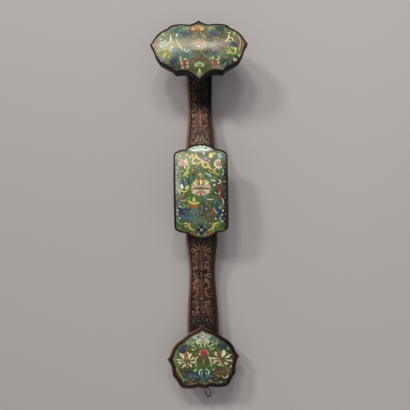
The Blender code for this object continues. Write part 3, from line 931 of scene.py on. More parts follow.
def enamelMaterial():
    # Its colours are those of the cells, with faint clouds.
    material, tree, shader = newMaterial("cloisonneEnamel", enamel["roughness"][0])
    shader.inputs["Specular IOR Level"].default_value = enamel["specular"]
    paint = addNode(tree, "Attribute", attribute_name="cellColor").outputs["Color"]
    where = scaledCoords(tree)
    shade = ramp(tree, noise(tree, where, enamel["clouds"], 4.0, 0.6), enamel["cloudTones"])
    tree.links.new(mixed(tree, 1.0, paint, shade, "MULTIPLY"), shader.inputs["Base Color"])
    pits = noise(tree, where, enamel["pits"], 3.0)
    tree.links.new(ranged(tree, pits, *enamel["roughness"]), shader.inputs["Roughness"])
    bumped(tree, shader, noise(tree, where, enamel["ripples"], 2.0), enamel["rippleDepth"], 0.5)
    return material


def giltMaterial():
    material, tree, shader = newMaterial("wornGilt", gilt["roughness"][0], 1.0)
    wear = noise(tree, scaledCoords(tree), gilt["wear"], 5.0, 0.7)
    color = ramp(tree, wear, [(0.35, gilt["worn"]), (0.65, gilt["bright"])])
    tree.links.new(color, shader.inputs["Base Color"])
    tree.links.new(ranged(tree, wear, *gilt["roughness"]), shader.inputs["Roughness"])
    return material


# Cloisonne. A plaque's cells are drawn flat, across and along in millimetres, each over the ones before it.
# A heading is in degrees, clockwise from the head's end of the scepter.

cloisonne = {
    "grid": 0.42,
    "clouds": ((0.16, 5.0, 3), (0.2, 1.5, 4)),  # in the glass of the ground: strength, size and seed
    "tint": (8.0, 5),  # size and seed of the change from the ground's first colour to its second
    "unevenness": 0.12,  # from cell to cell
    "blur": 0.3,
    "paleGlass": 0.75,
    "rimLight": (0.07, 0.8),  # how much paler the glass is beside its wire, and how far in
    "outerShade": (0.42, 0.7),  # how much darker what surrounds a cell is, and how far out
    "wireWidth": 0.2,
    "wireProud": 0.05,
    "wireSunk": 0.12,
    "wireStep": 0.5,
    "wireInside": 0.5,
    "wireOverlap": 0.15,
}
filler = {
    # shares of the pitch between them
    "rows": 0.9,
    "jitter": 0.2,
    "apart": 0.3,
    "sizes": (0.55, 1.0),
    # shares of the size
    "leafWidth": 0.48,
    "bead": (0.3, 0.36),
    "hook": (0.75, 0.3),
    "hookTurns": 0.6,
    "inside": 1.2,
}
comma = {
    "pitch": 2.9,
    "rows": 0.8,
    "radius": 0.7,
    "endRadius": 0.35,  # as a share of the radius
    "sweep": 290,
    "turn": 137,  # from one to the next
    "points": 8,
    "inside": 1.8,
    "apart": 0.3,
}


def bandDistance(points, path, half):
    # Below zero inside a band along a path, whose half width is given at each of its points.
    chord = np.diff(path, axis=0)
    away = points[:, None] - path[:-1]
    t = np.clip((away * chord).sum(-1) / np.maximum((chord**2).sum(-1), 1e-9), 0, 1)
    gap = away - t[..., None] * chord
    return (np.hypot(gap[..., 0], gap[..., 1]) - half[:-1] - t * np.diff(half)).min(1)


def cellDistance(cell, points):
    if "path" in cell:
        return bandDistance(points, cell["path"], cell["half"])
    return signedDistance(cell["outline"], points)


def placedAt(shape, u, v, heading):
    c, s = math.cos(deg(heading)), math.sin(deg(heading))
    x, y = shape.T
    return np.array([u, v]) + np.stack([x * c + y * s, y * c - x * s], -1)


def petal(u, v, heading, length, width, color, full=1.0):
    # Pointed at both ends; the fuller it is, the nearer to its tip it is widest.
    t = np.linspace(0, 1, 9)
    half = width / 2 * np.sin(np.pi * t**full) ** 0.75
    shape = np.vstack([np.stack([half, length * t], -1), np.stack([-half, length * t], -1)[-2:0:-1]])
    return [{"outline": placedAt(shape, u, v, heading), "color": color, "wire": True}]


def disc(u, v, color, across=1.0, along=None, heading=0.0, wire=True, blur=None):
    angles = np.linspace(0, 2 * np.pi, 17)[:-1]
    shape = np.stack([across * np.sin(angles), (along or across) * np.cos(angles)], -1)
    return [{"outline": placedAt(shape, u, v, heading), "color": color, "wire": wire, "blur": blur}]


def cloudy(u, v, color, across, along, heading=0.0):
    # A patch of the ground where two glasses run into each other.
    return disc(u, v, color, across, along, heading, False, 0.55 * min(across, along))


def strand(points, width, color, ends=(0.35, 0.6)):
    # A band along a smooth path, narrower at its ends by the given shares.
    path, _ = smoothThrough([(u, v, 0) for u, v in points], 0.7)
    path = np.array([(point.x, point.y) for point in path])
    t = np.linspace(0, 1, len(path))
    swell = np.minimum(1, ends[0] + 4 * t) * np.minimum(1, ends[1] + 4 * (1 - t))
    return [{"path": path, "half": width / 2 * swell, "color": color, "wire": True}]


def mirrored(side, points, width, color, middle=0.0):
    # A strand on the right for a side of 1, or its mirror image about the middle.
    return strand([(middle + u * side, v) for u, v in points], width, color)


def scroll(u, v, heading, size, hand, color, width=1.1, turns=0.8):
    # Leaves in a heading and winds up, clockwise for a hand of 1. It ends in a bead.
    count = 16
    t = np.arange(count) / (count - 1)
    angle = np.radians(heading + hand * 360 * turns * t**1.35)
    step = size * 3.4 / count * (1 - 0.72 * t)
    path = np.cumsum(np.stack([np.sin(angle), np.cos(angle)], -1) * step[:, None], 0)
    path = np.vstack([[0, 0], path]) + (u, v)
    half = width / 2 * np.minimum(1, 0.45 + 2 * np.arange(count + 1) / count)
    return [{"path": path, "half": half, "color": color, "wire": True}] + disc(*path[-1], color, width * 0.6)


def ring(u, v, radius, width, color, arc=(0, 360)):
    angles = np.radians(np.linspace(*arc, 15))
    path = np.stack([u + radius * np.sin(angles), v + radius * np.cos(angles)], -1)
    return [{"path": path, "half": np.full(15, width / 2), "color": color, "wire": True}]


def bloom(u, v, headings, length, width, color, full=1.2, start=0.0):
    cells = []
    for heading in headings:
        foot = (u + start * math.sin(deg(heading)), v + start * math.cos(deg(heading)))
        cells += petal(*foot, heading, length, width, color, full)
    return cells


def cluster(spots, size, color, heading=0.0):
    # Small leaves that lie close together, each turned a little from the last.
    cells = []
    for number, (u, v) in enumerate(spots):
        cells += disc(u, v, color, size, size * 0.7, heading + 47 * number)
    return cells


def dots(spots, radius, color):
    return [cell for u, v in spots for cell in disc(u, v, color, radius)]


def every(form, *rows):
    # One form after another of the same kind.
    return [cell for row in rows for cell in form(*row)]


def boxOf(cell, margin):
    spots = cell.get("path", cell.get("outline"))
    margin = margin + (cell["half"].max() if "path" in cell else 0)
    return spots.min(0) - margin, spots.max(0) + margin


def mottle(points, pitch, seed):
    # Smooth noise between -1 and 1.
    rng = np.random.default_rng(seed)
    grid = rng.uniform(-1, 1, (64, 64))
    place = points / pitch + 32
    corner = np.floor(place).astype(int)
    t = place - corner
    t = t * t * (3 - 2 * t)
    row, col = corner[:, 0] % 63, corner[:, 1] % 63
    low = grid[row, col] * (1 - t[:, 0]) + grid[row + 1, col] * t[:, 0]
    high = grid[row, col + 1] * (1 - t[:, 0]) + grid[row + 1, col + 1] * t[:, 0]
    return low * (1 - t[:, 1]) + high * t[:, 1]


def paintedColors(points, ground, cells, palette):
    shade = sum(strength * mottle(points, pitch, seed) for strength, pitch, seed in cloisonne["clouds"])
    tint = 0.5 + 0.5 * mottle(points, *cloisonne["tint"])
    first, second = (np.array(palette[name]) for name in ground)
    colors = (first + (second - first) * tint[:, None]) * (1 + shade[:, None])
    shadow, reach = cloisonne["outerShade"]
    light, depth = cloisonne["rimLight"]
    for number, cell in enumerate(cells):
        blur = cell.get("blur") or cloisonne["blur"]
        low, high = boxOf(cell, blur + reach)
        near = np.nonzero(((points > low) & (points < high)).all(1))[0]
        if not len(near):
            continue
        gap = cellDistance(cell, points[near])
        if cell["wire"]:
            colors[near] *= 1 - shadow * np.clip(1 - gap / reach, 0, 1)[:, None]
        share = np.clip(0.5 - gap / (2 * blur), 0, 1)[:, None]
        glass = np.array(palette[cell["color"]]) * (1 + cloisonne["unevenness"] * math.sin(2.4 * number))
        if cell["wire"]:
            glass = glass + (cloisonne["paleGlass"] - glass) * light * np.clip(1 + gap / depth, 0, 1)[:, None]
        colors[near] += (glass - colors[near]) * share
    return np.clip(colors, 0, 1)


def staggered(edge, pitch, rowPitch):
    low, high = edge.min(0), edge.max(0)
    spots = []
    for row, v in enumerate(np.arange(low[1], high[1], rowPitch)):
        spots += [(u + pitch / 2 * (row % 2), v) for u in np.arange(low[0], high[0], pitch)]
    return np.array(spots)


def freeOf(spots, cells, edge, inside, apart):
    # The spots that are well inside an edge and clear of every cell.
    free = signedDistance(edge, spots) < -inside
    for cell in cells:
        if cell["wire"]:
            free &= cellDistance(cell, spots) > apart
    return spots[free]


def fillers(cells, edge, pitch, names, seed):
    # Small leaves, beads and hooks in what the drawing leaves free.
    rng = np.random.default_rng(seed)
    spots = staggered(edge, pitch, pitch * filler["rows"])
    spots = spots + rng.uniform(-filler["jitter"], filler["jitter"], spots.shape) * pitch
    beadAcross, beadAlong = filler["bead"]
    hookSize, hookWidth = filler["hook"]
    made = []
    for u, v in freeOf(spots, cells, edge, filler["inside"], pitch * filler["apart"]):
        size, heading = pitch * rng.uniform(*filler["sizes"]), rng.uniform(0, 360)
        color = names[rng.integers(len(names))]
        back = (u - size / 2 * math.sin(deg(heading)), v - size / 2 * math.cos(deg(heading)))
        kind = rng.integers(4)
        if kind < 2:
            made += petal(*back, heading, size, size * filler["leafWidth"], color)
        elif kind == 2:
            made += disc(u, v, color, size * beadAcross, size * beadAlong, heading)
        else:
            hand, width = (-1) ** rng.integers(2), size * hookWidth
            made += scroll(*back, heading, size * hookSize, hand, color, width, filler["hookTurns"])
    return made


def beside(path):
    # At each point of a path, a step of one millimetre square to it.
    ahead = np.gradient(path, axis=0)
    return np.stack([ahead[:, 1], -ahead[:, 0]], -1) / np.maximum(np.hypot(*ahead.T), 1e-9)[:, None]


def cellWire(cell):
    # The wire's closed line around a cell, at an even spacing.
    if "path" in cell:
        path = cell["path"]
        aside = beside(path) * cell["half"][:, None]
        line = np.vstack([path + aside, (path - aside)[::-1]])
    else:
        line = cell["outline"]
    line = np.vstack([line, line[:1]])
    reached = np.concatenate([[0], np.cumsum(np.hypot(*np.diff(line, axis=0).T))])
    wanted = np.linspace(0, reached[-1], max(6, round(reached[-1] / cloisonne["wireStep"])))
    return np.stack([np.interp(wanted, reached, line[:, axis]) for axis in (0, 1)], -1)


def wireRuns(cells, edge):
    # The stretches of every cell's wire that no later cell covers.
    runs = []
    for number, cell in enumerate(cells):
        if not cell["wire"]:
            continue
        line = cellWire(cell)
        seen = signedDistance(edge, line) < -cloisonne["wireInside"]
        low, high = line.min(0), line.max(0)
        for later in cells[number + 1:]:
            if not later["wire"]:
                continue
            laterLow, laterHigh = boxOf(later, 0)
            if (laterLow < high).all() and (laterHigh > low).all():
                seen &= cellDistance(later, line) > -cloisonne["wireOverlap"]
        run = []
        for point, shown in zip(line, seen):
            if shown:
                run.append(point)
                continue
            if len(run) > 2:
                runs.append(np.array(run))
            run = []
        if len(run) > 2:
            runs.append(np.array(run))
    return runs


def commaRuns(cells, edge):
    # Small wire commas that hold the glass of the ground.
    pitch, radius, points = comma["pitch"], comma["radius"], comma["points"]
    spots = staggered(edge, pitch, pitch * comma["rows"])
    reach = radius * np.linspace(1, comma["endRadius"], points)
    runs = []
    for number, (u, v) in enumerate(freeOf(spots, cells, edge, comma["inside"], radius + comma["apart"])):
        angles = np.radians(np.linspace(0, comma["sweep"], points) + comma["turn"] * number)
        runs.append(np.stack([u + reach * np.sin(angles), v + reach * np.cos(angles)], -1))
    return runs


def makeWires(m, cells, edge, material):
    # Each wire is a low ridge whose feet are sunk in the glass.
    half, proud, sunk = cloisonne["wireWidth"] / 2, cloisonne["wireProud"], cloisonne["wireSunk"]
    profile = ((-1.3, -sunk), (-0.8, proud), (0.8, proud), (1.3, -sunk))
    verts, faces = [], []
    start = 0
    for run in wireRuns(cells, edge) + commaRuns(cells, edge):
        side = beside(run) * half
        ring = [domed(m, *(run + side * across).T, m["enamelTop"] + up) for across, up in profile]
        verts.append(np.stack(ring, 1).reshape(-1, 3))
        for i in range(len(run) - 1):
            for k in range(3):
                a = start + 4 * i + k
                faces.append((a, a + 4, a + 5, a + 1))
        start += 4 * len(run)
    addObject(m["name"] + "Wires", np.vstack(verts), faces, material)


def headCells():
    # clouds of the ground: sage and haze in the middle, partly a painted highlight across the dome, teal
    # above and below it, dark corners, brown tips
    cells = every(
        cloudy, (-8, 3, "sage", 40, 9), (-42, 8, "sage", 9, 12), (12, 1, "haze", 12, 3.6),
        (-22, 20, "teal", 12, 8), (22, 18, "teal", 9, 7), (26, 22, "deepTeal", 5, 4),
        (-14, -10, "teal", 10, 5), (16, -8, "deepTeal", 10, 3.5), (-27, -15, "deepTeal", 5, 5),
        (0, 22, "olive", 11, 9), (36, 16, "olive", 9, 12), (42, 2, "olive", 6, 12), (29, 26, "pine", 9, 4),
        (-36, 27, "taupe", 6, 5), (29, 4, "taupe", 6, 6), (41, 11, "moss", 4, 7), (-39, -7, "moss", 9, 8),
        (38, -9, "leaf", 9, 7), (0, -27, "olive", 17, 6), (0, -23, "fern", 9, 4), (-31, -24, "pine", 11, 3.5),
        (35, -20, "pine", 12, 6), (51, 5, "umber", 5, 12), (-53, 2, "taupe", 5, 8), (0, 34, "pine", 7, 4),
        (45, -15, "pine", 6, 4), (25, 13, "olive", 6, 4), (0, -36, "slate", 5, 3), (13, 9, "umber", 4, 5),
        (25, -3, "taupe", 5, 6), (0, -8, "olive", 8, 3.5), (-28, -7, "slate", 4, 5), (-33, 0, "taupe", 3, 3),
    )

    # the lotus at the top, with its stalk and the scrolls beside it
    for side in (-1, 1):
        cells += mirrored(side, [(1.4, 20), (4.4, 14.6), (7.6, 11)], 1.1, "sand")
        cells += mirrored(side, [(6.6, 20.4), (3, 15.6), (0.8, 12.4)], 1.0, "taupe")
        cells += petal(-1.4 + 2.4 * side, 20, 52 * side, 8.6, 3.0, "copper")
        cells += every(
            scroll, (12 * side, 20.6, 0, 4.2, side, "straw", 1.2),
            (9.6 * side, 27.6, 150 * side, 3.6, -side, "sand", 1.1),
            (17 * side, 28, 120 * side, 3.6, side, "straw", 1.1),
        )
        cells += petal(14.6 * side, 21, 40 * side, 5, 1.6, "moss")
        cells += scroll(29 * side, 24, 60 * side, 3.4, side, "moss", 1.1)
        cells += cluster([(20 * side, 26.6), (24 * side, 25), (27 * side, 21)], 1.8, "deepTeal", 20)
    cells += bloom(-1.4, 19.6, (-38, 34), 11, 4.0, "peach", 1.4)
    cells += bloom(-1.4, 20, (-16, 14), 11.4, 3.6, "copper", 1.4)
    cells += every(
        petal, (-1.4, 20, 0, 11.4, 2.8, "peach"), (-4.8, 20.6, -34, 8, 1.5, "straw"),
        (2, 20.6, 32, 8, 1.5, "straw"),
    )
    cells += disc(-1.4, 21.2, "rust", 3.0, 1.6)

    # leaves of teal and steel either side of the stalk
    cells += every(
        cluster,
        ([(-19, 16.5), (-16, 18.2), (-13.2, 15), (-10.8, 17.4), (-17, 13.2), (-21, 18.6)], 2.2, "steel"),
        ([(14.2, 17), (17, 18.6), (15, 14.6), (18.6, 15.6), (21, 13), (22.6, 16.6)], 2.3, "steel", 30),
        ([(-16.5, 16), (-11, 15)], 1.1, "midnight"), ([(14.5, 15.8), (19.8, 13.6)], 1.2, "midnight"),
    )
    cells += every(
        petal, (-27, 12, 20, 6, 2.2, "ice"), (-30, 16, 70, 5, 1.8, "mist"), (-24, 8, -20, 5, 1.8, "mist"),
    )
    cells += scroll(-20, 6, 20, 3.8, 1, "mist", 1.1) + scroll(24, 8, -10, 3.8, -1, "mist", 1.1)

    # cream figures
    cells += every(
        strand, ([(-33.2, 20.6), (-33.6, 17), (-33.2, 14)], 1.4, "tan"),
        ([(-33.4, 15.4), (-33, 10), (-33.2, 6.6), (-35, 5), (-37.4, 4.2)], 1.7, "straw"),
        ([(-33, 7.6), (-31.6, 6), (-29, 5.2)], 1.4, "cream"),
    )
    cells += disc(-33.3, 9.4, "cream", 1.3, 2.2)
    cells += strand([(35.4, 15.6), (35.2, 11), (33.4, 8), (30.8, 5)], 1.7, "cream")
    cells += strand([(33.8, 8.4), (35.6, 5.8), (37.8, 4)], 1.4, "cream")
    cells += ring(38, 8.6, 2.1, 1.0, "cream", (-50, 150))
    cells += every(
        disc, (38, 8.6, "umber", 1.2), (36, 17.6, "shell", 2.0, 1.3), (32, 18.6, "taupe", 1.6, 2.0),
    )
    cells += cluster([(34.8, 22.5), (38, 20.4), (31.5, 22)], 1.5, "moss", 50)

    # the left side: pale water and yellow scrolls
    for u, v, heading in (
        (-47, 9.4, 70), (-46, 6, 100), (-47, 2.4, 80), (-46.4, -1, 60), (-41, 4.6, 20), (-42, -0.6, 150),
    ):
        cells += petal(u, v, heading, 5.0, 1.5, "ice")
    cells += scroll(-41, 14, 10, 3.6, -1, "straw") + scroll(-37, 20, -40, 3.4, -1, "moss", 1.2)
    cells += disc(-38.6, 2, "ice", 0.9, 1.6) + petal(-43, 19, 30, 4, 1.4, "straw")
    for u, v, heading, hand, hue in (
        (-37.6, -2.6, -60, -1, "lime"), (-36.4, -4, 60, 1, "straw"), (-38, -7, -100, -1, "lemon"),
        (-35.6, -8, 120, 1, "lime"), (-39, -11, -150, 1, "straw"), (-34, -3, 10, 1, "lemon"),
        (-43.6, -3.6, -170, 1, "lime"),
    ):
        cells += scroll(u, v, heading, 3.6, hand, hue, 1.3)
    cells += every(
        petal, (-36.4, -11, 150, 4.6, 1.6, "straw"), (-45, -9, 20, 4.5, 1.7, "leaf"),
        (-33, -12, 200, 5, 1.6, "moss"),
    )
    cells += disc(-44.5, -15.6, "violet", 2.2, 2.8) + disc(-48, -13.4, "black", 1.4, 2.0)
    berries = [(-33, -18), (-30, -19.6), (-27.4, -18.4), (-31.6, -21), (-29, -17)]
    cells += cluster(berries, 2.2, "midnight", 70)

    # the right side: a blue knot over lemon scrolls, and a brown border
    cells += cluster([(39, 1.4), (41.6, 2.6), (43.8, 0.4), (41.4, -0.8), (40, 3.6)], 2.4, "midnight", 20)
    cells += dots([(39.8, -2.6), (43, -3.8)], 1.0, "white") + cluster([(37.2, 4.2), (36.2, -1)], 1.2, "blue")
    for u, v, heading, hand, hue in (
        (31, -4.6, 150, -1, "lime"), (33.6, -7.6, 140, -1, "straw"), (36.8, -10, 110, -1, "lime"),
        (40.8, -10.4, 60, -1, "lemon"), (43.8, -6.8, 20, -1, "straw"), (38, -6, -30, 1, "lime"),
        (34.6, -12, 200, 1, "moss"), (40.4, -13.6, 190, -1, "straw"), (45.8, -9.6, 170, -1, "straw"),
    ):
        cells += scroll(u, v, heading, 3.9, hand, hue, 1.5)
    cells += every(
        petal, (33, -3.4, 30, 4, 1.6, "lime"), (44.6, -12, 60, 4, 1.8, "lime"),
        (41, 15.6, 20, 5, 2.0, "straw"), (37, -9.6, 100, 5.6, 1.8, "lime"), (32, -10, 60, 4.6, 1.4, "cream"),
    )
    cells += disc(40.8, -6.6, "pine", 1.4, 1.1)
    cells += every(
        petal, (42.6, 13.6, 8, 5.6, 2.2, "lime"), (40.4, 11, -30, 3.6, 1.5, "leaf"),
        (43.6, 8, 20, 4, 1.6, "moss"),
    )
    cells += every(
        strand, ([(46.2, 15), (48.6, 9), (48.8, 2), (47, -6)], 1.4, "fawn"),
        ([(50.6, 11), (52, 5), (51, -4)], 1.4, "taupe"),
        ([(28, -14), (31.4, -13), (32.6, -15.6)], 1.0, "tan"),
    )
    cells += scroll(27.4, -7, 200, 3.2, 1, "tan", 1.1)

    # the great flower in the middle, pale: partly its own white glass, partly a painted highlight across the
    # dome
    cells += cloudy(0.4, 1, "sand", 7, 5)
    cells += every(
        bloom, (0.4, 1, (-104, -76, -50, 50, 76, 104), 9.4, 2.2, "haze", 1.4),
        (0.4, 1, (-150, -128, 128, 150, 180), 6.4, 2.0, "sand", 1.4),
        (0.4, 2, (-26, 26), 9.6, 2.0, "sand", 1.4),
        (0.4, 1.6, (-92, -64, -36, 36, 64, 92), 5.6, 1.5, "fawn", 1.3),
    )
    cells += petal(0.4, 3, 0, 7.4, 1.8, "haze")
    cells += bloom(0.4, -0.8, (-144, -72, 0, 72, 144), 2.6, 1.3, "shell", 1.2) + disc(0.5, -1, "white", 1.0)
    for side in (-1, 1):
        cells += ring(6.2 * side, 5.4, 1.6, 0.7, "tan") + petal(3.4 * side, -2, 120 * side, 5, 1.6, "haze")
        cells += strand([(0.4, 5), (2.4 * side, 7.6), (5.6 * side, 9.4)], 0.8, "umber")
    cells += disc(0.2, 11.4, "umber", 0.7)

    # ribbon and leaves to the left of it, grey ribbon to the right
    cells += every(
        strand, ([(-27, 9), (-25, 5), (-22.8, 0), (-18, -6)], 2.0, "sand", (0.6, 0.3)),
        ([(-22.6, 8.6), (-20, 4), (-18.4, -1)], 1.1, "tan"),
        ([(-25.6, -3), (-22, -6), (-19, -10)], 1.0, "taupe"),
    )
    cells += cluster([(-19, -9), (-16, -11), (-11, -12), (-8, -9.6), (-13, -15)], 2.0, "teal", 15)
    cells += cluster([(-14.6, -7.2), (-12, -5.4), (-16.6, -5)], 1.4, "ice") + disc(-10.4, -8, "violet", 1.6)
    cells += dots([(-26.4, -8.6)], 0.9, "midnight") + cluster([(-28.4, -5), (-29.6, -9)], 1.7, "slate")
    cells += cluster([(8.6, -9.4), (10, -7)], 2.0, "pine")
    cells += every(
        petal, (11.4, -9.4, 66, 9.6, 2.6, "slate"), (15, -5.4, 70, 8, 2.0, "violet"),
        (12, -7.4, 100, 5, 1.6, "midnight"),
    )
    cells += cluster([(17.4, -10.8), (22.6, -9.6), (20, -11.6)], 1.7, "teal")

    # below: the arch, the fungus and the two five-petalled flowers
    cells += strand([(-12.4, -20), (-8, -16.6), (0, -14.6), (8, -16.6), (12, -20)], 3.2, "bronze", (0.6, 0.6))
    for side in (-1, 1):
        cells += petal(11.4 * side, -20.4, -46 * side, 6.6, 2.4, "brick")
    cells += strand([(-5.6, -18.4), (0.4, -17), (6.4, -18.4)], 1.3, "pine")
    cells += disc(2.6, -12.7, "black", 2.2, 0.9) + petal(0.4, -34.6, 0, 9, 2.8, "straw")
    cells += cluster([(-0.8, -31.6), (1.6, -31.6)], 1.4, "sprout")
    cells += dots([(-3.2, -22.8), (4, -22.8)], 2.5, "sprout") + disc(0.4, -21, "sprout", 3.2, 2.2)
    cells += ring(-3, -22.8, 1.3, 0.8, "cream", (150, 380)) + ring(3.8, -22.8, 1.3, 0.8, "cream", (-20, 210))
    cells += disc(0.4, -23.2, "moss", 1.8, 1.4) + disc(0.4, -25.4, "umber", 0.8)
    for u, hue, pale in ((-16.8, "brick", "fawn"), (19.4, "rust", "tan")):
        angles = [deg(heading) for heading in (52, 128, 218, 300, 358)]
        spots = [(u + 3.9 * math.sin(angle), -22.4 + 3.4 * math.cos(angle)) for angle in angles]
        cells += dots(spots[:4], 1.9, pale) + dots(spots[4:], 1.8, hue) + disc(u, -22.4, hue, 1.9)
        cells += dots(spots[1:3], 0.9, "sand") + dots(spots[:1], 1.0, "cream")
    cells += every(
        petal, (10.8, -14.8, 100, 5, 2.1, "lime"), (15.4, -17, 20, 4.6, 2.0, "lemon"),
        (13, -12.4, 60, 4, 1.6, "leaf"), (17.6, -13.4, 110, 4.8, 1.9, "leaf"),
        (20.4, -15.4, 150, 4, 1.6, "straw"), (22.4, -12.6, 160, 5, 1.4, "cream"),
    )
    cells += strand([(-21.2, -12), (-21.8, -15.4), (-21, -18.4)], 1.3, "cream")
    cells += petal(-18, -17, 60, 4, 1.5, "straw") + scroll(-7, -28, -70, 3.4, -1, "leaf", 1.2)
    cells += scroll(8, -28, 70, 3.4, 1, "leaf", 1.2)
    cells += cluster([(27.6, -16), (30, -19), (26.4, -20)], 1.9, "deepTeal")
    cells += scroll(33, -20, 40, 3.4, 1, "dusk", 1.2)
    cells += every(
        petal, (28.6, -24, 40, 6, 2.0, "slate"), (-30, -25.4, -60, 6, 1.8, "dusk"),
        (-24, -26.4, -80, 5, 1.6, "olive"),
    )
    return cells


def centerCells():
    # clouds of the ground: painted light in haze and mist down the left, painted shade in black and pine down
    # the right, painted shade in pine and fern under the top, and a painted reflection in ice along the top
    # edge
    cells = every(
        cloudy, (0, 47, "ice", 15, 3.5), (-28, 6, "haze", 4, 22), (-29, -18, "mist", 3, 14),
        (15, 36, "pine", 10, 7), (-2, 36, "fern", 12, 5), (29, -6, "black", 4, 40), (24, 2, "pine", 5, 14),
        (7, 22, "leaf", 6, 5), (0, -22, "moss", 18, 9), (-18, -24, "steel", 6, 6), (-18.6, 9, "steel", 3, 5),
        (-25, -7, "taupe", 4, 3.5), (11, -26, "umber", 6, 6), (-11, -26, "teal", 8, 4),
        (-10, -33, "slate", 5, 3), (2, -24, "olive", 8, 6), (-12, -48, "rust", 4, 3), (11, -48, "rust", 4, 3),
        (5, -16, "olive", 9, 5), (-6, 23, "olive", 4, 4), (25, 38, "teal", 5, 5), (21, 3, "brown", 4, 9),
    )

    # top: three white beads, a pale crescent that is partly a painted reflection, and swirls
    cells += strand([(-13, 47), (-7, 45.4), (0, 46.6), (7, 45.4), (13, 47)], 1.8, "white", (0.3, 0.3))
    cells += dots([(-6.5, 50.4), (-0.5, 51), (4.5, 50.4)], 1.5, "white")
    cells += dots([(-10, 48.4), (9, 48.6)], 1.0, "ice") + scroll(-18, 38, 0, 3.4, 1, "straw", 1.2)
    cells += scroll(-12, 42, 100, 3.4, 1, "lemon", 1.2)
    cells += strand([(-15, 37), (-11, 39), (-8.4, 36.6)], 1.1, "lemon")
    cells += disc(12.4, 39, "lemon", 2.6, 3.4, 20) + petal(14, 42, 100, 5, 1.8, "straw")
    cells += disc(4, 41.6, "white", 1.2)
    for points in (((20, 41.6), (22.4, 38.4), (21.6, 34)), ((24.6, 42), (22.4, 38.4), (26.4, 37))):
        cells += strand(points, 1.1, "ice")

    # the yellow ribbon that winds down to the right
    cells += strand([(-4, 37.6), (-8, 35.4), (-10, 32), (-8, 29.4), (-5, 31.2)], 1.6, "lemon")
    cells += disc(-7.6, 32.2, "umber", 0.9)
    cells += every(
        strand, ([(-6.4, 42.4), (-4.6, 38.6), (-1.4, 35), (4, 31.6), (8, 30.6)], 1.7, "apricot"),
        ([(-8, 40), (-5.6, 37.4), (-2, 34)], 0.9, "cream"),
        ([(-3.4, 30), (0.6, 31), (3, 33.6)], 1.3, "lemon"),
        ([(3.6, 32), (2.6, 27.6), (5.6, 24.8), (8.8, 26.8), (8.6, 30.4)], 1.6, "lemon"),
    )
    cells += disc(6.1, 27.6, "rust", 1.1) + strand([(9, 28), (10.8, 24.8), (14.4, 22.6)], 1.6, "lemon")
    cells += petal(9, 32, 70, 4, 1.3, "ochre") + petal(10.4, 23.4, 190, 4, 1.4, "ochre")
    cells += strand([(13, 23.6), (16.4, 21.4), (19.4, 17)], 1.7, "ochre")
    cells += petal(15.6, 21.6, 40, 4.4, 1.6, "cream") + petal(14.6, 21.6, 160, 4.6, 1.5, "apricot")
    cells += disc(6, 35.6, "violet", 1.9, 1.6)

    # two pink buds
    cells += bloom(-22, 31, (-150, -90, -30), 4.8, 3.2, "blush", 1.4) + disc(-22, 31, "pink", 3.0, 3.8)
    cells += bloom(-21, 30, (40, 70, 100, 150), 6.0, 2.0, "cream", 1.3, 1.4)
    cells += bloom(21.4, 29, (-110, -80, -50, -20, 20, 140, 180, 215), 6.2, 2.3, "cream", 1.4)
    cells += disc(21.6, 29.4, "pink", 2.8, 3.0) + petal(21.6, 27, 0, 5, 1.6, "rose")
    cells += every(
        strand, ([(-16.4, 29.6), (-14.4, 26.6), (-15.4, 22.6), (-18.2, 19)], 1.7, "lemon"),
        ([(-21.4, 15.6), (-18, 18.4), (-13.4, 20)], 1.3, "lemon"),
        ([(-20.4, 20.4), (-17.6, 17.6), (-16, 14.8)], 1.2, "straw"),
    )
    cells += disc(0, 23, "black", 1.0) + strand([(26.6, 23.6), (27.4, 20), (25.6, 16.6)], 1.0, "ice")
    cells += scroll(-27.6, 27, 10, 3.2, 1, "ice", 0.9)

    # water to the right, dark strands to the left
    cells += strand([(5.4, 19.6), (8, 17.6), (11, 16.8), (13.2, 14.6)], 1.3, "ice")
    cells += petal(11.6, 18, 120, 5, 1.6, "navy")
    cells += strand([(12, 12.4), (14.4, 11.2), (17.4, 10.4)], 1.2, "white")
    cells += ring(16, 6, 2.4, 1.2, "black", (-170, 60)) + ring(16, 6, 1.2, 1.0, "white", (-160, 80))
    cells += strand([(19.6, 7), (22.8, 8.6), (23.4, 10.8), (21, 11.4)], 1.0, "white")
    cells += disc(16.6, -2, "black", 3.0, 2.2, -30)
    cells += strand([(15.4, -1.2), (17, -2), (18.4, -3.2)], 1.2, "ice")
    cells += strand([(-14, 14.4), (-14.4, 11), (-13.4, 7.6)], 2.2, "navy")
    cells += disc(-8.4, 17.4, "black", 1.5, 1.8)
    cells += strand([(-12.6, 13.4), (-9.6, 13.2), (-7.4, 15)], 1.1, "navy")
    cells += petal(-18, 5.6, 0, 7, 2.6, "slate")

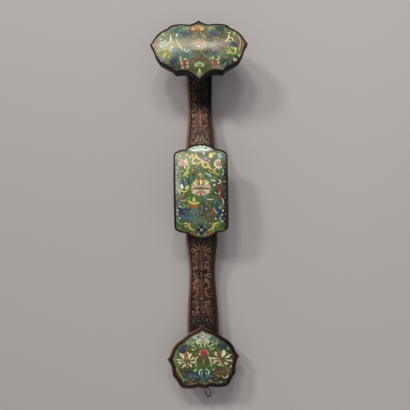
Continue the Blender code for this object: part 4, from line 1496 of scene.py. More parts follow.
    # the lotus in the middle
    cells += petal(0, 11.6, 0, 8.6, 1.7, "apricot") + strand([(-3, 16.8), (0, 17.6), (3, 16.8)], 1.1, "cream")
    cells += bloom(0, 5, (-62, 60), 10.4, 3.6, "cream", 1.6) + bloom(0, 4, (-42, 42), 10.6, 4.4, "straw", 1.6)
    cells += disc(0, 9.2, "rust", 4.4, 4.6)
    cells += every(
        petal, (-2.8, 7, -12, 6, 2, "ochre"), (2.8, 7, 12, 6, 2, "ochre"), (0.2, 6, 0, 6.4, 3.0, "cream"),
    )
    cells += bloom(0, 0.8, (-104, -78, 76, 102), 11.4, 3.4, "cream", 1.5)
    for side in (-1, 1):
        for heading, length, hue in (
            (54, 11.6, "cream"), (70, 12, "blush"), (84, 11.6, "cream"), (99, 12, "blush"),
            (114, 11.4, "cream"), (130, 10.4, "blush"), (147, 9, "cream"), (165, 8.6, "blush"),
        ):
            cells += petal(0.6 * side, 2.6, heading * side, length, 2.8, hue, 1.4)
    cells += strand([(-10.4, 2), (-5, 2.6), (0, 2.2), (5, 2.6), (10.4, 2)], 0.9, "brick", (0.4, 0.4))
    cells += strand([(-8, 5.6), (0, 5), (8, 5.6)], 1.6, "shell", (0.4, 0.4))
    cells += petal(0, 3, 180, 8.6, 2.2, "shell", 1.4)
    cells += strand([(-9.6, 3.4), (0, 2.8), (9.6, 3.2)], 0.7, "brown")
    cells += petal(-0.2, -1, 180, 4.6, 1.1, "brick")
    for heading in (-118, 116):
        cells += petal(0, 0, heading, 8, 0.9, "brick")

    # the boat-shaped bloom on the left and the yellow crescent under it
    cells += petal(-21.4, 2, -20, 6.6, 3.2, "white") + petal(-19, 1.6, 40, 6, 2.4, "cream")
    cells += strand([(-25.4, 4.4), (-23, 0.6), (-19, -0.8), (-15.8, 1.6), (-14.4, 6)], 1.6, "lemon")
    cells += strand([(-24, -0.6), (-19.4, -2.4), (-14.4, 0.4)], 0.9, "brown")
    cells += petal(-20.4, -1.8, 190, 4.4, 2.2, "ochre") + petal(-25.6, -2.6, 0, 5, 1.8, "white")
    cells += disc(-27, 5.6, "haze", 1.6, 2.2) + petal(-16, -1.6, 130, 4.4, 1.8, "rust")
    cells += disc(-28.6, -12, "steel", 1.6, 2.6)
    cells += strand([(-17, -8.6), (-20, -10), (-24, -9.4)], 1.2, "blush")
    cells += petal(-8.6, -12.4, 4, 6.6, 3.4, "lemon") + disc(-9.6, -15.6, "rust", 5.0, 2.2, 10)
    cells += strand([(-16, -9.2), (-12.6, -12), (-7.6, -13.4), (-1.4, -12)], 2.4, "lemon", (0.3, 0.3))

    # the red flower on the right
    cells += strand([(21.4, 3), (22.4, -2), (22, -9.6)], 2.4, "red") + petal(21.6, -5, 0, 4.6, 1.4, "blush")
    cells += dots([(21.5, -3)], 0.8, "white") + disc(26.4, -7, "navy", 1.6, 2.4)
    cells += disc(11.4, -5, "umber", 1.8, 2.6) + strand([(4.6, -6), (7.6, -8.8), (14, -9.2)], 1.2, "cream")
    cells += petal(23.4, 4, 20, 6, 1.6, "umber")

    # lower half: leaves, clusters and rings
    cells += strand([(-20.4, -15.6), (-18.8, -19), (-14.6, -20), (-12.6, -17.8)], 1.6, "navy")
    cells += petal(18.2, -24, 4, 13, 6.4, "deepTeal", 1.1)
    cells += strand([(16.4, -12), (15, -17), (16.8, -22), (20, -24.2)], 1.1, "ice")
    cells += strand([(24.6, -7.6), (26.4, -11), (26, -14.6)], 1.3, "ice")
    berries = [(-26, -18.6), (-23.6, -20.8), (-25.6, -23), (-21.6, -18), (-22.6, -24)]
    cells += cluster(berries, 2.1, "navy", 20)
    cells += cluster([(21.4, -20.6), (23.8, -23), (21, -24.6), (24.6, -27), (19.6, -28.4)], 2.1, "navy", 50)
    cells += dots([(-25, -16.6), (-28.2, -20.2), (-28.4, -24.4), (-26, -29)], 0.9, "white")
    cells += dots([(22, -18), (26, -21.4), (24.6, -26), (22.6, -29.4), (17.2, -30)], 1.0, "white")
    cells += bloom(-20.4, -25.6, (130, 160, 190, 220), 5.6, 2.6, "blue", 1.4)
    cells += petal(-20, -23, 20, 4, 2, "leaf") + disc(12.6, -22.4, "rust", 1.8, 4.0, 10)
    cells += petal(9.4, -24, 30, 6, 1.6, "brown")
    cells += strand([(-2, -14), (1, -17), (0.4, -21), (-2, -24)], 1.2, "slate")
    cells += ring(9.4, -12.4, 2.2, 1.0, "jade", (-30, 230))
    for u, v, heading, hand, hue in (
        (-8, -27, 20, 1, "slate"), (3, -20, 100, -1, "steel"), (-10, -17, 150, 1, "slate"),
        (6, -27, 10, 1, "slate"), (-24, -30, 60, -1, "jade"), (0, -35, 80, 1, "slate"),
        (-22, -13, 120, 1, "haze"), (4, -12, 70, -1, "slate"),
    ):
        cells += scroll(u, v, heading, 4.0, hand, hue, 1.1)
    for u, v, heading in (
        (-22, 24, 200), (-12, 12, 30), (-4, 22, 60), (2, 17, 200), (11, 15, 120), (24, 12, 10),
        (25, -14, 200),
    ):
        cells += petal(u, v, heading, 4.6, 1.5, "jade")
        cells += petal(u + 2, v - 2.4, heading + 70, 4, 1.2, "sprout")
    cells += every(
        scroll, (-13, -22, 60, 4.0, 1, "ice", 1.1), (-16, -33, 100, 3.6, -1, "jade", 1.1),
        (9, -33, 60, 3.6, 1, "jade", 1.1), (15, -13, 150, 3.6, 1, "pine", 1.2),
        (-6, -35, -60, 3.4, 1, "moss", 1.1),
    )
    cells += petal(3, -36, 60, 5, 1.6, "moss") + ring(-5.6, -21.4, 2.6, 1.1, "slate")
    cells += ring(1, -30.2, 2.6, 1.1, "slate") + disc(6.2, -19, "violet", 1.9, 1.3)
    cells += scroll(-9, -19, 140, 3.0, 1, "slate", 1.0) + scroll(5, -27, 40, 3.0, 1, "slate", 1.0)
    cells += dots([(6.6, -13.8), (9.8, -16)], 1.1, "mist") + petal(-15, -23, 100, 6, 2.2, "teal")
    cells += cluster([(-13.6, -29), (-10, -32.4), (-7.4, -28)], 1.7, "slate", 10)
    cells += strand([(-29, -31), (-27.4, -34), (-24, -35.6)], 1.2, "ice")
    cells += scroll(27, -31, 190, 3.4, 1, "ice", 1.1)

    # bottom: yellow scrolls and the blue flower
    for side in (-1, 1):
        cells += scroll(13.4 * side, -38, -20 * side, 2.6, side, "lemon", 1.1)
        ribbon = [(22, -35.4), (18, -34.6), (14.6, -37.4), (12.4, -41.6), (8.4, -43.8)]
        cells += mirrored(side, ribbon, 1.6, "lemon")
        cells += mirrored(side, [(20.4, -37.4), (16.4, -38), (14, -42)], 1.1, "straw")
        cells += every(
            petal, (20 * side, -36, 200 * side, 4.6, 1.8, "ochre"),
            (10 * side, -46, 120 * side, 5, 1.8, "rust"), (3 * side, -47, 150 * side, 4, 1.8, "blush"),
        )
    cells += bloom(0, -42.8, (0, 90, 180, 270), 6.4, 4.8, "navy", 1.5) + disc(0, -42.8, "lemon", 1.6)
    cells += dots([(4.6, -39.4), (-4.6, -39.4)], 0.7, "ice")
    return cells


def tailCells():
    # clouds of the ground: painted shade in black and pine down the right, and a painted reflection in haze
    # at the top
    cells = every(
        cloudy, (33, 6, "black", 8, 14), (0, -26, "black", 36, 8), (0, -17, "pine", 34, 6),
        (0, 24, "haze", 14, 5), (13, 22, "teal", 7, 3.5, 20), (-14, 21, "mist", 8, 3.5, -20),
        (-34, 2, "dusk", 3, 10), (0, -12, "leaf", 14, 5), (29, -15, "bark", 7, 7), (17, -20, "bark", 8, 5),
        (-20, -23, "deepTeal", 8, 4), (-13, -22, "steel", 4, 4), (0, -25, "deepTeal", 7, 4.5),
        (30, 9, "pine", 5, 6), (-28, -18, "bark", 5, 4), (0, -4, "olive", 8, 8), (-30, -4, "leaf", 3, 8),
        (0, -32, "taupe", 22, 2),
    )

    # top: a ring, and a double scroll over the red flower
    cells += ring(0.2, 27, 2.3, 1.2, "cream") + disc(0.2, 27, "moss", 1.2) + petal(0, 29.6, 0, 3, 1.6, "mist")
    for side in (-1, 1):
        cells += mirrored(side, [(1.2, 11.6), (2.6, 14.6), (2.4, 18)], 1.3, "straw")
        cells += mirrored(side, [(1.6, 19.6), (4.4, 20.8), (7.2, 19.4), (6.8, 16.4)], 1.7, "cream")
        cells += disc(4.6 * side, 17.8, "cream", 1.3) + petal(4.6 * side, 11, 12 * side, 6, 1.6, "moss")
        cells += mirrored(side, [(9.4, 18.6), (12, 18), (13.6, 15.4), (11.4, 13.4)], 1.5, "sprout")
        cells += petal(7.6 * side, 9.4, 30 * side, 7, 2.4, "mist")
        cells += petal(9.4 * side, 9, 70 * side, 5.6, 2.0, "sprout")
        cells += scroll(15.6 * side, 19.6, 90 * side, 3.4, side, "haze", 1.1)
        cells += petal(6 * side, 23, 70 * side, 6, 1.6, "ice")
        cells += petal(9.6 * side, 14.8, 100 * side, 3.6, 1.3, "cream")
    cells += every(
        cluster, ([(-27, 9.6), (-24.6, 12), (-22.4, 9.4), (-21.6, 13.6), (-25.4, 7)], 2.3, "midnight", 10),
        ([(-22, 11.6), (-24.6, 9)], 1.0, "steel"), ([(-28, 13), (-19, 15)], 1.4, "steel"),
        ([(20.6, 13.4), (23.6, 11.4), (26.4, 11.4), (24.4, 14.2), (27.6, 8.4)], 2.3, "midnight", 30),
        ([(29.6, 7), (31, 3.6), (-31, 5)], 1.6, "deepTeal"),
    )
    cells += petal(18, 14.6, -60, 3.6, 1.2, "ice")

    # the red flower on its olive body
    cells += every(
        petal, (-2.6, -9, -8, 9, 2.2, "bark"), (2.6, -9, 8, 9, 2.2, "bark"), (0, -9.6, 0, 9, 2.0, "moss"),
    )
    cells += bloom(0.6, 3.6, (-84, 80), 6.6, 3.2, "blush", 1.5)
    cells += bloom(0.6, 4.2, (-50, -20, 20, 50), 6.4, 3.2, "salmon", 1.5) + disc(0.8, 4.4, "red", 4.4, 3.0)
    cells += bloom(0.8, 4.4, (-28, 30), 5.0, 2.2, "red", 1.4) + disc(0.4, 2, "brick", 3.0, 1.6)

    # two ragged peonies
    for u, v, reach in ((-21, -2.4, (11.4, 9.4)), (22, -2.4, (12.2, 9.2))):
        across, along = reach
        for number, heading in enumerate(range(-165, 180, 21)):
            length = math.hypot(across * math.sin(deg(heading)), along * math.cos(deg(heading)))
            length *= 1 + 0.16 * math.sin(2.7 * number + u)
            heading += 7 * math.sin(4.1 * number)
            foot = (u + 2 * math.sin(deg(heading)), v + 2 * math.cos(deg(heading)))
            hue = ("cream", "straw", "butter")[number % 3]
            cells += petal(*foot, heading, length - 1.4, 2.0, hue, 1.5)
        for number, heading in enumerate(range(-155, 180, 32)):
            hue = ("butter", "straw")[number % 2]
            cells += petal(u, v, heading + 6 * math.sin(3 * number), 6.4, 1.7, hue, 1.5)
        for heading in (-140, -104, -66, 66, 100, 138, 172):
            cells += petal(u, v, heading, 8.2, 1.2, "pine")
    cells += every(
        petal, (-23.4, -2, -22, 9, 2.4, "cream"), (-18.4, -2, 22, 9, 2.4, "cream"),
        (-21, -4.6, 0, 12.6, 4.4, "rust"), (-21, -3, 0, 7, 1.6, "copper"), (-21, -3, 180, 8, 1.2, "bark"),
        (20.6, -3, -18, 11, 3.6, "rust"), (24, -1, 20, 9, 2.4, "cream"), (17, 0, -40, 6, 1.5, "cream"),
    )
    cells += strand([(17.4, 6.4), (20.4, 1), (22.6, -4), (24.6, -10)], 1.5, "brown")
    cells += every(
        petal, (18, -1, -80, 6, 1.3, "bark"), (27, 1, 50, 5, 1.4, "olive"), (16, -7, 110, 5, 1.3, "brown"),
    )
    cells += strand([(-6.6, 1.4), (-9.4, -1.6), (-10, -5.4)], 1.4, "cream")
    cells += petal(-9.8, -11.6, 12, 5, 1.6, "sprout")
    cells += strand([(6.4, 1.2), (8.6, -3), (8.8, -8)], 1.6, "straw")
    cells += every(
        petal, (8.6, -6.4, 172, 5.4, 1.8, "sprout"), (12, -12, 130, 4.6, 1.6, "leaf"),
        (-8, -14, 250, 4, 1.6, "straw"), (-5, -8, 200, 5, 1.6, "leaf"), (5, -8, 160, 5, 1.6, "leaf"),
    )

    # bottom: the turquoise bud between curls, and the scrolls at both corners
    cells += bloom(0.2, -21, (-150, -115, 115, 150), 6, 2.8, "teal", 1.4)
    cells += every(
        petal, (0.2, -28.6, 0, 12, 5.4, "deepTeal", 1.2), (0.2, -25.4, 0, 8, 2.4, "midnight"),
        (0, -16.4, 0, 4.6, 1.8, "black"),
    )
    for side in (-1, 1):
        cells += mirrored(side, [(1.6, -14.6), (4.4, -15.2), (6, -18), (5.4, -21)], 1.3, "ice")
        cells += every(
            petal, (2.2 * side, -17.4, 160 * side, 4.4, 1.3, "ice"),
            (10 * side, -16.4, 60 * side, 3.6, 1.5, "straw"), (6 * side, -22, 120 * side, 5, 1.8, "teal"),
            (11 * side, -26.6, 100 * side, 5.6, 1.6, "dusk"),
        )
    cells += strand([(-33.4, -9), (-32.8, -14), (-29.6, -19), (-26.6, -24.6), (-22, -27.4)], 0.9, "sprout")
    cells += petal(-17, -12, 170, 5, 2.0, "bark") + cluster([(-21.4, -16.6), (-20, -19)], 1.7, "midnight", 60)
    cells += petal(-13, -19, 200, 6, 2.4, "steel") + disc(-17, -29.6, "red", 2.4, 1.0, 80)
    cells += scroll(-25, -14, 170, 3.6, 1, "bark", 1.2)
    cells += strand([(27.6, -21.6), (28.4, -24.6), (25, -26), (22, -24.6)], 1.2, "straw")
    cells += strand([(32, -4), (35.2, -7), (35, -11), (31.6, -14)], 1.2, "straw")
    cells += petal(28, -12, 190, 6, 2.6, "brick") + scroll(16, -16, 170, 3.6, -1, "olive", 1.2)
    cells += scroll(14, -23, 60, 3.6, 1, "moss", 1.1) + petal(21, -17, 120, 6, 2.0, "taupe")
    return cells


plaque = {
    "plateEdge": 0.5,
    "overlap": 0.25,  # how far the glass reaches over the plate's edge
    "chamfer": 0.1,
    "underGrid": 6.0,
    "grounds": {"head": ("dusk", "mist"), "center": ("leaf", "jade"), "tail": ("olive", "fern")},
    "fillPitch": 3.1,
    "fills": {
        "head": ("mist", "sage", "teal", "sage", "moss", "steel", "dusk", "haze", "olive", "deepTeal"),
        "center": (
            "jade", "leaf", "moss", "pine", "slate", "fern", "umber", "teal", "olive", "straw", "pine",
        ),
        "tail": ("moss", "leaf", "pine", "olive", "sprout", "fern", "bark", "olive", "pine"),
    },
}


def makePlate(m, material):
    # The thin gilt edge of the copper pan, and its floor.
    gap, edge, chamfer = layers["gap"], plaque["plateEdge"], plaque["chamfer"]
    profile = [
        (0.0, m["plate"]),
        (0.0, m["enamelTop"] - chamfer),
        (chamfer, m["enamelTop"]),
        (edge - chamfer, m["enamelTop"]),
        (edge, m["enamelTop"] - chamfer),
        (edge, m["plate"] + layers["plate"]),
    ]
    rings = []
    for inwards, h in profile:
        points = rimLine(m, m["rimWidth"] + gap + inwards)
        rings.append(domed(m, points[:, 0], points[:, 1], h))
    faces = loftFaces(len(rings), len(rings[0]))
    piece = addObject(m["name"] + "Plate", np.vstack(rings), faces, material)
    facingOut(piece)
    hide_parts(m["name"] + "_copper_plate")


def makeEnamel(m, material, cells):
    outline = rimLine(m, m["rimWidth"] + 2 * layers["gap"] + plaque["plateEdge"] - plaque["overlap"])
    topPoints, topFaces = filled(outline, cloisonne["grid"])
    lowPoints, lowFaces = filled(outline, plaque["underGrid"])
    count, start = len(outline), len(topPoints)
    top = domed(m, topPoints[:, 0], topPoints[:, 1], m["enamelTop"])
    low = domed(m, lowPoints[:, 0], lowPoints[:, 1], m["enamel"])
    wall = [(i, (i + 1) % count, start + (i + 1) % count, start + i) for i in range(count)]
    faces = topFaces + [tuple(start + i for i in reversed(face)) for face in lowFaces] + wall
    piece = addObject(m["name"] + "Enamel", np.vstack([top, low]), faces, material)
    facingOut(piece)
    points = np.vstack([topPoints, lowPoints])
    colors = paintedColors(points, plaque["grounds"][m["name"]], cells, enamelColors)
    colorAttribute(piece, "cellColor", colors)
    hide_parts(m["name"] + "_enamel")
    return outline


def makePlaques():
    glass, metal = enamelMaterial(), giltMaterial()
    for m, drawn in ((head, headCells), (center, centerCells), (tail, tailCells)):
        cells = drawn()
        edge = rimLine(m, m["rimWidth"] + layers["gap"])
        cells += fillers(cells, edge, plaque["fillPitch"], plaque["fills"][m["name"]], len(cells))
        makePlate(m, metal)
        edge = makeEnamel(m, glass, cells)
        makeWires(m, cells, edge, metal)
        print(f"{m['name']} plaque: {len(cells)} cells")


makePlaques()


# Shaft

shaft = {
    "thickness": 15.0,
    "headEndThickness": 12.5,
    "widths": (39.0, 31.8, 38.4, 35.6, 29.4, 31.5),
    "waist": 23.6,
    "faceCrown": 0.9,
    "bead": 3.4,
    "faceCorner": 2.6,
    "backCorner": 4.0,
    "underTail": 16.0,
    "underHead": 15.0,
    "nose": 9.0,
    "noseNarrowing": 0.45,
    "noseRings": (0.0, 0.04, 0.12, 0.25, 0.4, 0.6),
    "mostOfNose": 0.75,
    "seatInset": 1.0,
    "bossMargin": 0.5,
    "faceAbove": 3.0,  # what stands higher than this over the middle of the wood is the face
    "step": 0.45,
    "across": 64,
}


def eased(stations, s):
    places, values = zip(*stations)
    s = np.clip(s, places[0], places[-1])
    index = np.clip(np.searchsorted(places, s) - 1, 0, len(places) - 2)
    places, values = np.array(places), np.array(values)
    t = (s - places[index]) / (places[index + 1] - places[index])
    return values[index] + (values[index + 1] - values[index]) * t * t * (3 - 2 * t)


def shaftWidth(s):
    tailWidth, waist, humpLower, humpUpper, neck, headEnd = shaft["widths"]
    stations = (
        (places["lowerRest"] - spine["heel"], tailWidth),
        (places["lowerRest"] + spine["lowerRest"] + shaft["waist"], waist),
        (places["hump"] - center["rim"][0][1], humpLower),
        (places["hump"] + center["rim"][0][1], humpUpper),
        (places["throat"], neck),
        (places["head"], headEnd),
    )
    return eased(stations, s)


# Across the moulding, as shares of its width, and down from the face: a groove, a narrow bead, a second
# groove and the bead at the edge.
mouldingProfile = (
    (0.05, 0.4), (0.12, 0.7), (0.2, 0.45), (0.28, 0.05), (0.38, 0.0), (0.46, 0.15),
    (0.52, 0.45), (0.58, 0.3), (0.65, 0.0), (0.75, 0.0),
)


def shaftSection(s):
    # Points (u, h), clockwise from the middle of the face, for each distance in s.
    half = shaftWidth(s) / 2
    top = eased(((places["throat"], shaft["thickness"]), (places["head"], shaft["headEndThickness"])), s) / 2
    field = half - shaft["bead"]
    count = shaft["across"] // 2
    u = [field * t for t in np.arange(count + 1) / count]
    h = [top + shaft["faceCrown"] * (1 - t * t) for t in np.arange(count + 1) / count]
    bead, corner, back = shaft["bead"], shaft["faceCorner"], shaft["backCorner"]
    for across, drop in mouldingProfile:
        u.append(field + bead * across)
        h.append(top - drop)
    for angle in (20, 40, 60, 80):
        u.append(half - bead * 0.25 * (1 - math.sin(deg(angle))))
        h.append(top - corner * 0.9 * (1 - math.cos(deg(angle))))
    u.append(half)
    h.append(top - corner)
    for angle in (0, 22.5, 45, 67.5, 90):
        u.append(half - back * (1 - math.cos(deg(angle))))
        h.append(back * (1 - math.sin(deg(angle))) - top)
    u.append(np.zeros_like(half))
    h.append(-top)
    u, h = (np.array([np.broadcast_to(row, half.shape) for row in rows]).T for rows in (u, h))
    return np.hstack([u, -u[:, -2:0:-1]]), np.hstack([h, h[:, -2:0:-1]])


# Carving on the shaft's face, drawn across and along in millimetres.

carving = {
    "depth": 0.8,
    "slope": 0.5,
    "border": 0.9,
    "borderSlope": 0.4,
    "overhang": 0.15,  # of a form's top past its outline, as a share of the slope
    "shade": (0.68, 0.47),  # of the ground, and how much paler the tops are: painted highlight on the carved ridges, with dust
    "lowerEdge": ((-15.5, 76), (15.5, 76), (13.5, 130), (14.8, 192), (-14.8, 192), (-13.5, 130)),
    "neckEdge": ((-13.6, 302), (13.6, 302), (10.8, 350), (11, 402), (-11, 402), (-10.8, 350)),
    "lowerMiddle": -1.0,
    "lowerRows": (97.0, 184.0, 8.7),
    "neckRows": (322.0, 398.0, 7.6),
    "neckBeads": 150,
    # The head's shadow is painted on the neck below it, darkest on its right; above the centre mount the neck
    # is painted paler, painted light where its slope faces the lamps.
    "headShadowOnNeck": (346.0, 362.0),
    "headShadowSlant": 0.35,
    "headShadowAcross": (-13.0, 1.0),
    "headShadowShares": (0.66, 0.22),
    "litNeck": (292.0, 304.0, 346.0, 356.0),
    "litNeckShare": 1.24,
    # Painted light: the left edge is paler than the right, as lit from the left.
    "litFromLeftAcross": (1.0, 0.68),
    "edgeLitFromLeft": (1.5, 0.55),
    "backShade": 0.8,
    "fillPitch": 2.4,
    "fills": ("top", "worn", "top", "rose", "dusty", "ground", "red"),
}


def scrollRow(number, s, middle, reach):
    # A pair of outer and inner scrolls with leaves and beads between them; every other row is turned over.
    over = 1 if number % 2 else -1
    cells = []
    for side in (-1, 1):
        wander = 1 + 0.14 * math.sin(5 * number + 2 * side)
        outer, inner = middle + side * reach * 0.76, middle + side * reach * 0.3
        tone = ("worn", "top", "dusty")[(number + side) % 3]
        between = middle + side * reach * 0.52
        ahead, back = 90 + 90 * over, 90 - 90 * over
        cells += petal(outer - side, s + 4.4 * over, side * (90 - 60 * over), 4.4, 1.9, "top")
        cells += scroll(outer, s - 3 * over, back + 20 * side, 3.5 * wander, -side * over, tone, 1.25)
        cells += scroll(inner, s - over, side * 60, 3.0 * wander, side * over, "top", 1.2)
        cells += petal(between, s + 2 * over, ahead + 30 * side, 4.2, 1.6, "worn")
        cells += disc(outer + side * 1.9, s + 1.6 * over, "dusty", 0.8)
        cells += disc(middle + side * reach * 0.5, s - 3.4 * over, "dusty", 0.75)
    return cells + petal(middle, s - 3.4, 0, 6.8, 2.2, "top") + disc(middle, s + 3.9, "worn", 0.8)


def lowerCarving():
    middle = carving["lowerMiddle"]
    # The soot clouds beside the tail mount and below the centre mount are painted shadows; the one at the
    # stem's foot is painted shade in its hollows.
    cells = every(
        cloudy, (-2, 118, "red", 7, 10), (-4, 166, "honey", 8, 5), (3, 101, "honey", 6, 4),
        (-2, 144, "soot", 9, 4), (0, 83, "soot", 16, 6), (-8, 130, "rose", 5, 8), (6, 182, "soot", 9, 6),
    )
    for number, s in enumerate(np.arange(*carving["lowerRows"])):
        cells += scrollRow(number, s, middle, 11.0)
    # under the centre mount: its outline again, and two strands that open like a calyx
    cells += strand([(-13.5, 189), (-7.5, 187.6), (-1, 185), (5.5, 187.6), (11.5, 189)], 1.1, "grey")
    for side in (-1, 1):
        cells += mirrored(side, [(2.6, 186), (1.9, 181), (3.4, 176)], 1.5, "worn", middle)
        cells += ring(middle + 9.6 * side, 174.6, 2.4, 1.2, "worn")
        cells += disc(middle + 9.6 * side, 174.6, "top", 0.9) + disc(middle + 5.6 * side, 179, "dusty", 1.2)
        cells += petal(middle + 6 * side, 184, 130 * side, 5, 2, "top")
    # the stem in the middle, with dark hollows at its foot
    for side in (-1, 1):
        cells += mirrored(side, [(1.6, 157), (1.5, 151), (2.6, 146.4)], 1.3, "rose", middle)
        cells += petal(middle + 10.2 * side, 147, -20 * side, 7, 3, "worn")
        cells += disc(middle + 5.6 * side, 151, "worn", 1.5)
        cells += disc(middle + 3.8 * side, 143.6, "soot", 1.6, 1.2)
        cells += ring(middle + 9.6 * side, 140.4, 2.6, 1.2, "worn")
        cells += ring(middle + 5.6 * side, 133.4, 1.7, 1.2, "dusty")
        cells += disc(middle + 5.6 * side, 133.4, "soot", 0.6)
        cells += mirrored(side, [(7.6, 134), (9.6, 129), (8, 124)], 1.4, "worn", middle)
    cells += every(
        petal, (middle, 141, 0, 4, 2.6, "worn"), (middle, 106, 0, 9, 2.6, "side"),
        (middle, 114, 0, 11, 3.6, "red"),
    )
    cells += disc(middle, 126.4, "worn", 1.1) + disc(middle, 111.4, "dusty", 1.0)
    # a row of ring beads, a line, and the darker curls beside the tail mount, in painted shade
    cells += dots([(-12, 93.6), (-6.4, 93.8), (-0.6, 93.4), (4.6, 94), (10, 93.6)], 2.4, "ground")
    for u in (-11.6, -6, 1.4, 6.8):
        cells += ring(u, 93.6, 1.3, 0.9, "worn") + disc(u, 93.6, "soot", 0.6)
    cells += strand([(-14, 90), (-5, 89.6), (4, 89.6), (12.6, 90)], 1.0, "top", (1, 1))
    for side in (-1, 1):
        cells += scroll(1.6 * side - 0.5, 80.6, 20 * side, 4.2, side, "grey", 1.3)
        cells += scroll(8.4 * side - 0.5, 79.6, 10 * side, 4.2, side, "grey", 1.3)
        cells += mirrored(side, [(13.4, 77), (12.6, 83), (14, 88)], 1.1, "grey", -0.5)
    cells += disc(-0.5, 86.4, "grey", 1.0)
    return cells


def neckCarving():
    # The soot clouds on the neck are the painted shadow of the head, darkest on its right.
    cells = every(
        cloudy, (0.4, 341, "rose", 6, 11), (3, 364, "soot", 10, 9), (2, 385, "soot", 12, 12),
        (-7, 356, "soot", 3, 4), (8, 335, "soot", 4, 9), (-8, 330, "ground", 4, 9),
    )
    for number, s in enumerate(np.arange(*carving["neckRows"])):
        cells += scrollRow(number, s, 0.0, 10.2)
    # the pale oval in the middle
    for number, s in enumerate(np.arange(330, 351, 3.4)):
        wide = 2.6 * math.sin((s - 325) / 30 * math.pi)
        cells += petal(0.4, s - 2.4, 0, 5, 2.2, ("rose", "worn")[number % 2])
        for side in (-1, 1):
            cells += petal(0.4 + 0.9 * side, s - 1, 38 * side, 1.6 + wide, 1.3, ("worn", "rose")[number % 2])
    cells += ring(0.4, 343, 1.4, 0.7, "dusty") + disc(0.4, 336, "dusty", 0.8, 1.2)
    # fine pale beads all over, fewer on the right, in the head's painted shadow
    for number in range(carving["neckBeads"]):
        u, s = -9.6 + 18.6 * (number * 0.7549 % 1), 317 + 62 * (number * 0.618 % 1)
        if s < 351 or u < 1.5 - (s - 351) * 0.2:
            cells += disc(u * 1.08, s, ("bead", "dusty", "worn")[number % 3], 0.5, 0.66, 40 * number)
    # a fan of petals that rises from the centre mount
    cells += cloudy(0, 311, "ground", 12, 6)
    for side in (-1, 1):
        cells += every(
            mirrored, (side, [(12, 303), (7.4, 306.6), (4, 312), (3.2, 317)], 1.0, "ash"),
            (side, [(13, 309), (10, 312), (8.8, 318)], 1.2, "worn"),
            (side, [(9, 303), (5.6, 306), (2.4, 310.6), (1.6, 317.6)], 0.8, "ash"),
        )
        cells += scroll(5.6 * side, 316, 0, 3.0, side, "worn", 1.0)
        cells += disc(10.6 * side, 306, "worn", 0.9, 1.4, 40 * side)
        cells += dots([(1.6 * side, 304.4), (4.6 * side, 309), (7.4 * side, 313)], 0.8, "bead")
    cells += petal(0, 305, 0, 9, 1.4, "ash")
    return cells


def carvedRelief(u, s, cells, field):
    # 0 in the ground and 1 on the tops, with the plain border left standing.
    points = np.stack([u, s], -1)
    relief = np.clip((np.abs(u) - field + carving["border"]) / carving["borderSlope"], 0, 1)
    for cell in cells:
        if not cell["wire"] or cell["color"] == "soot":
            continue
        low, high = boxOf(cell, 0.2)
        near = np.nonzero(((points > low) & (points < high)).all(1))[0]
        if len(near):
            raised = np.clip(carving["overhang"] - cellDistance(cell, points[near]) / carving["slope"], 0, 1)
            relief[near] = np.maximum(relief[near], raised * raised * (3 - 2 * raised))
    return relief


def shaftGrid():
    # Stations along the shaft, and its section at each of them.
    start, end = places["tail"] - shaft["underTail"], places["head"] + shaft["underHead"]
    nose = start + shaft["nose"] * np.array(shaft["noseRings"])
    rest = np.arange(start + shaft["nose"] * shaft["mostOfNose"], end, shaft["step"])
    s = np.concatenate([nose, rest, [end]])
    u, h = shaftSection(s)
    short = np.clip(1 - (s - start) / shaft["nose"], 0, 1)
    return s, u * (1 - shaft["noseNarrowing"] * short**2)[:, None], h


def shaftCells():
    cells = lowerCarving() + neckCarving()
    fills = carving["fillPitch"], carving["fills"]
    lower, neck = (np.array(carving[key]) for key in ("lowerEdge", "neckEdge"))
    return cells + fillers(cells, lower, *fills, 21) + fillers(cells, neck, *fills, 22)


def shaftColors(u, s, half, face, carved, relief, cells):
    # All flat, with one value for each vertex.
    field = half - shaft["bead"]
    side = np.array(woodColors["side"])
    colors = paintedColors(np.stack([u, s], -1), ("ground", "side"), cells, woodColors)
    # the raised tops painted paler: painted highlight, with dust
    ground, gain = carving["shade"]
    colors[carved] *= (ground + gain * relief[carved])[:, None]
    colors[carved & (np.abs(u) > field - carving["border"])] = woodColors["ground"]

    # The moulding is painted paler on its ridges and darker in its grooves, its left edge paler than its
    # right: painted highlight and shade.
    moulding = face & ~carved
    heights = [(0.0, 0.4)] + [(at, 1 - 1.3 * drop) for at, drop in mouldingProfile] + [(1.0, 0.6)]
    ridge = np.interp((np.abs(u) - field) / shaft["bead"], *zip(*heights))
    edge = np.array(woodColors["edge"]) * np.where(u < 0, *carving["edgeLitFromLeft"])[:, None]
    tone = side + (edge - side) * ridge[:, None]
    colors[moulding] = tone[moulding] * (0.6 + 0.4 * np.clip(ridge[moulding], 0, 1))[:, None]
    colors[~face] = side * carving["backShade"]

    # painted shadow of the head on the neck, and painted light on the neck above the centre mount
    shaded = np.interp(s + carving["headShadowSlant"] * u, carving["headShadowOnNeck"], (0, 1))
    shaded[moulding & (u < 0)] = 0
    dark = 1 - shaded * (1 - np.interp(u, carving["headShadowAcross"], carving["headShadowShares"]))
    pale = np.interp(s, carving["litNeck"], (1.0, carving["litNeckShare"], carving["litNeckShare"], 1.0))
    # painted light and shade: the shaft is paler towards its left and darker towards its right
    wear = np.interp(u / half, (-1, 1), carving["litFromLeftAcross"])
    return np.clip(colors * (dark * pale * wear)[:, None], 0, 1)


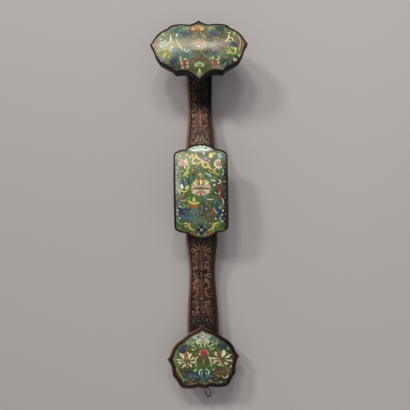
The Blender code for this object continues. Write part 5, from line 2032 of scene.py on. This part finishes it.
def seated(u, distance, h):
    # The shaft's face, cut down to a flat seat under each mount.
    for m in (center, tail):
        flat = np.stack(rotated(u, distance - m["middle"], -deg(m.get("skew", 0.0))), -1)
        seat = outlineOf(insetHalf(m["rim"], shaft["seatInset"]))
        inside = signedDistance(seat, flat.reshape(-1, 2)).reshape(u.shape) < 0
        h = np.where(inside & (h > m["seat"]), m["seat"], h)
    under = distance > places["head"] - head["boss"][1] / 2 + shaft["bossMargin"]
    return np.where(under & (h > head["seat"]), head["seat"], h)


def makeShaft():
    s, u, h = shaftGrid()
    distance = np.broadcast_to(s[:, None], u.shape)
    half = np.broadcast_to(shaftWidth(s)[:, None] / 2, u.shape)
    cells = shaftCells()
    face = h > shaft["faceAbove"]
    field = half - shaft["bead"]
    carved = face & (np.abs(u) <= field + 0.01)
    relief = np.zeros(u.shape)
    relief[carved] = carvedRelief(u[carved], distance[carved], cells, field[carved])
    colors = shaftColors(*(values.ravel() for values in (u, distance, half, face, carved, relief)), cells)
    h = seated(u, distance, h - carving["depth"] * (1 - relief) * carved)
    spots = onCurve(arcs, spine["origin"], u, distance, h).reshape(-1, 3)
    faces = loftFaces(len(s), u.shape[1])
    piece = addObject("carvedShaft", spots, faces, woodMaterial("shaftWood"))
    facingOut(piece)
    colorAttribute(piece, "woodColor", colors)
    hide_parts("shaft")
    print(f"shaft: {len(cells)} carved forms")


makeShaft()


# What shows little: the putty beds and the pegs

def plainMaterial(name, dark, light, scale, roughness, stretch=(1, 1, 1)):
    material, tree, shader = newMaterial(name, roughness)
    value = noise(tree, scaledCoords(tree, stretch), scale, 5.0, 0.65)
    tree.links.new(ramp(tree, value, [(0.35, dark), (0.65, light)]), shader.inputs["Base Color"])
    tree.links.new(ranged(tree, value, roughness - 0.08, roughness + 0.08), shader.inputs["Roughness"])
    bumped(tree, shader, value, 0.00005)
    return material


def dressHidden():
    putty = plainMaterial("lacquerPutty", rgb(58, 40, 28), rgb(96, 70, 50), 500, 0.8)
    bamboo = plainMaterial("bamboo", rgb(160, 122, 72), rgb(206, 170, 112), 900, 0.6, (1, 1, 0.08))
    for name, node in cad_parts.items():
        material = putty if name.endswith("_bed") else bamboo if "_peg_" in name else None
        if material:
            node.data.materials.clear()
            node.data.materials.append(material)


dressHidden()
print("beds and pegs: dressed")
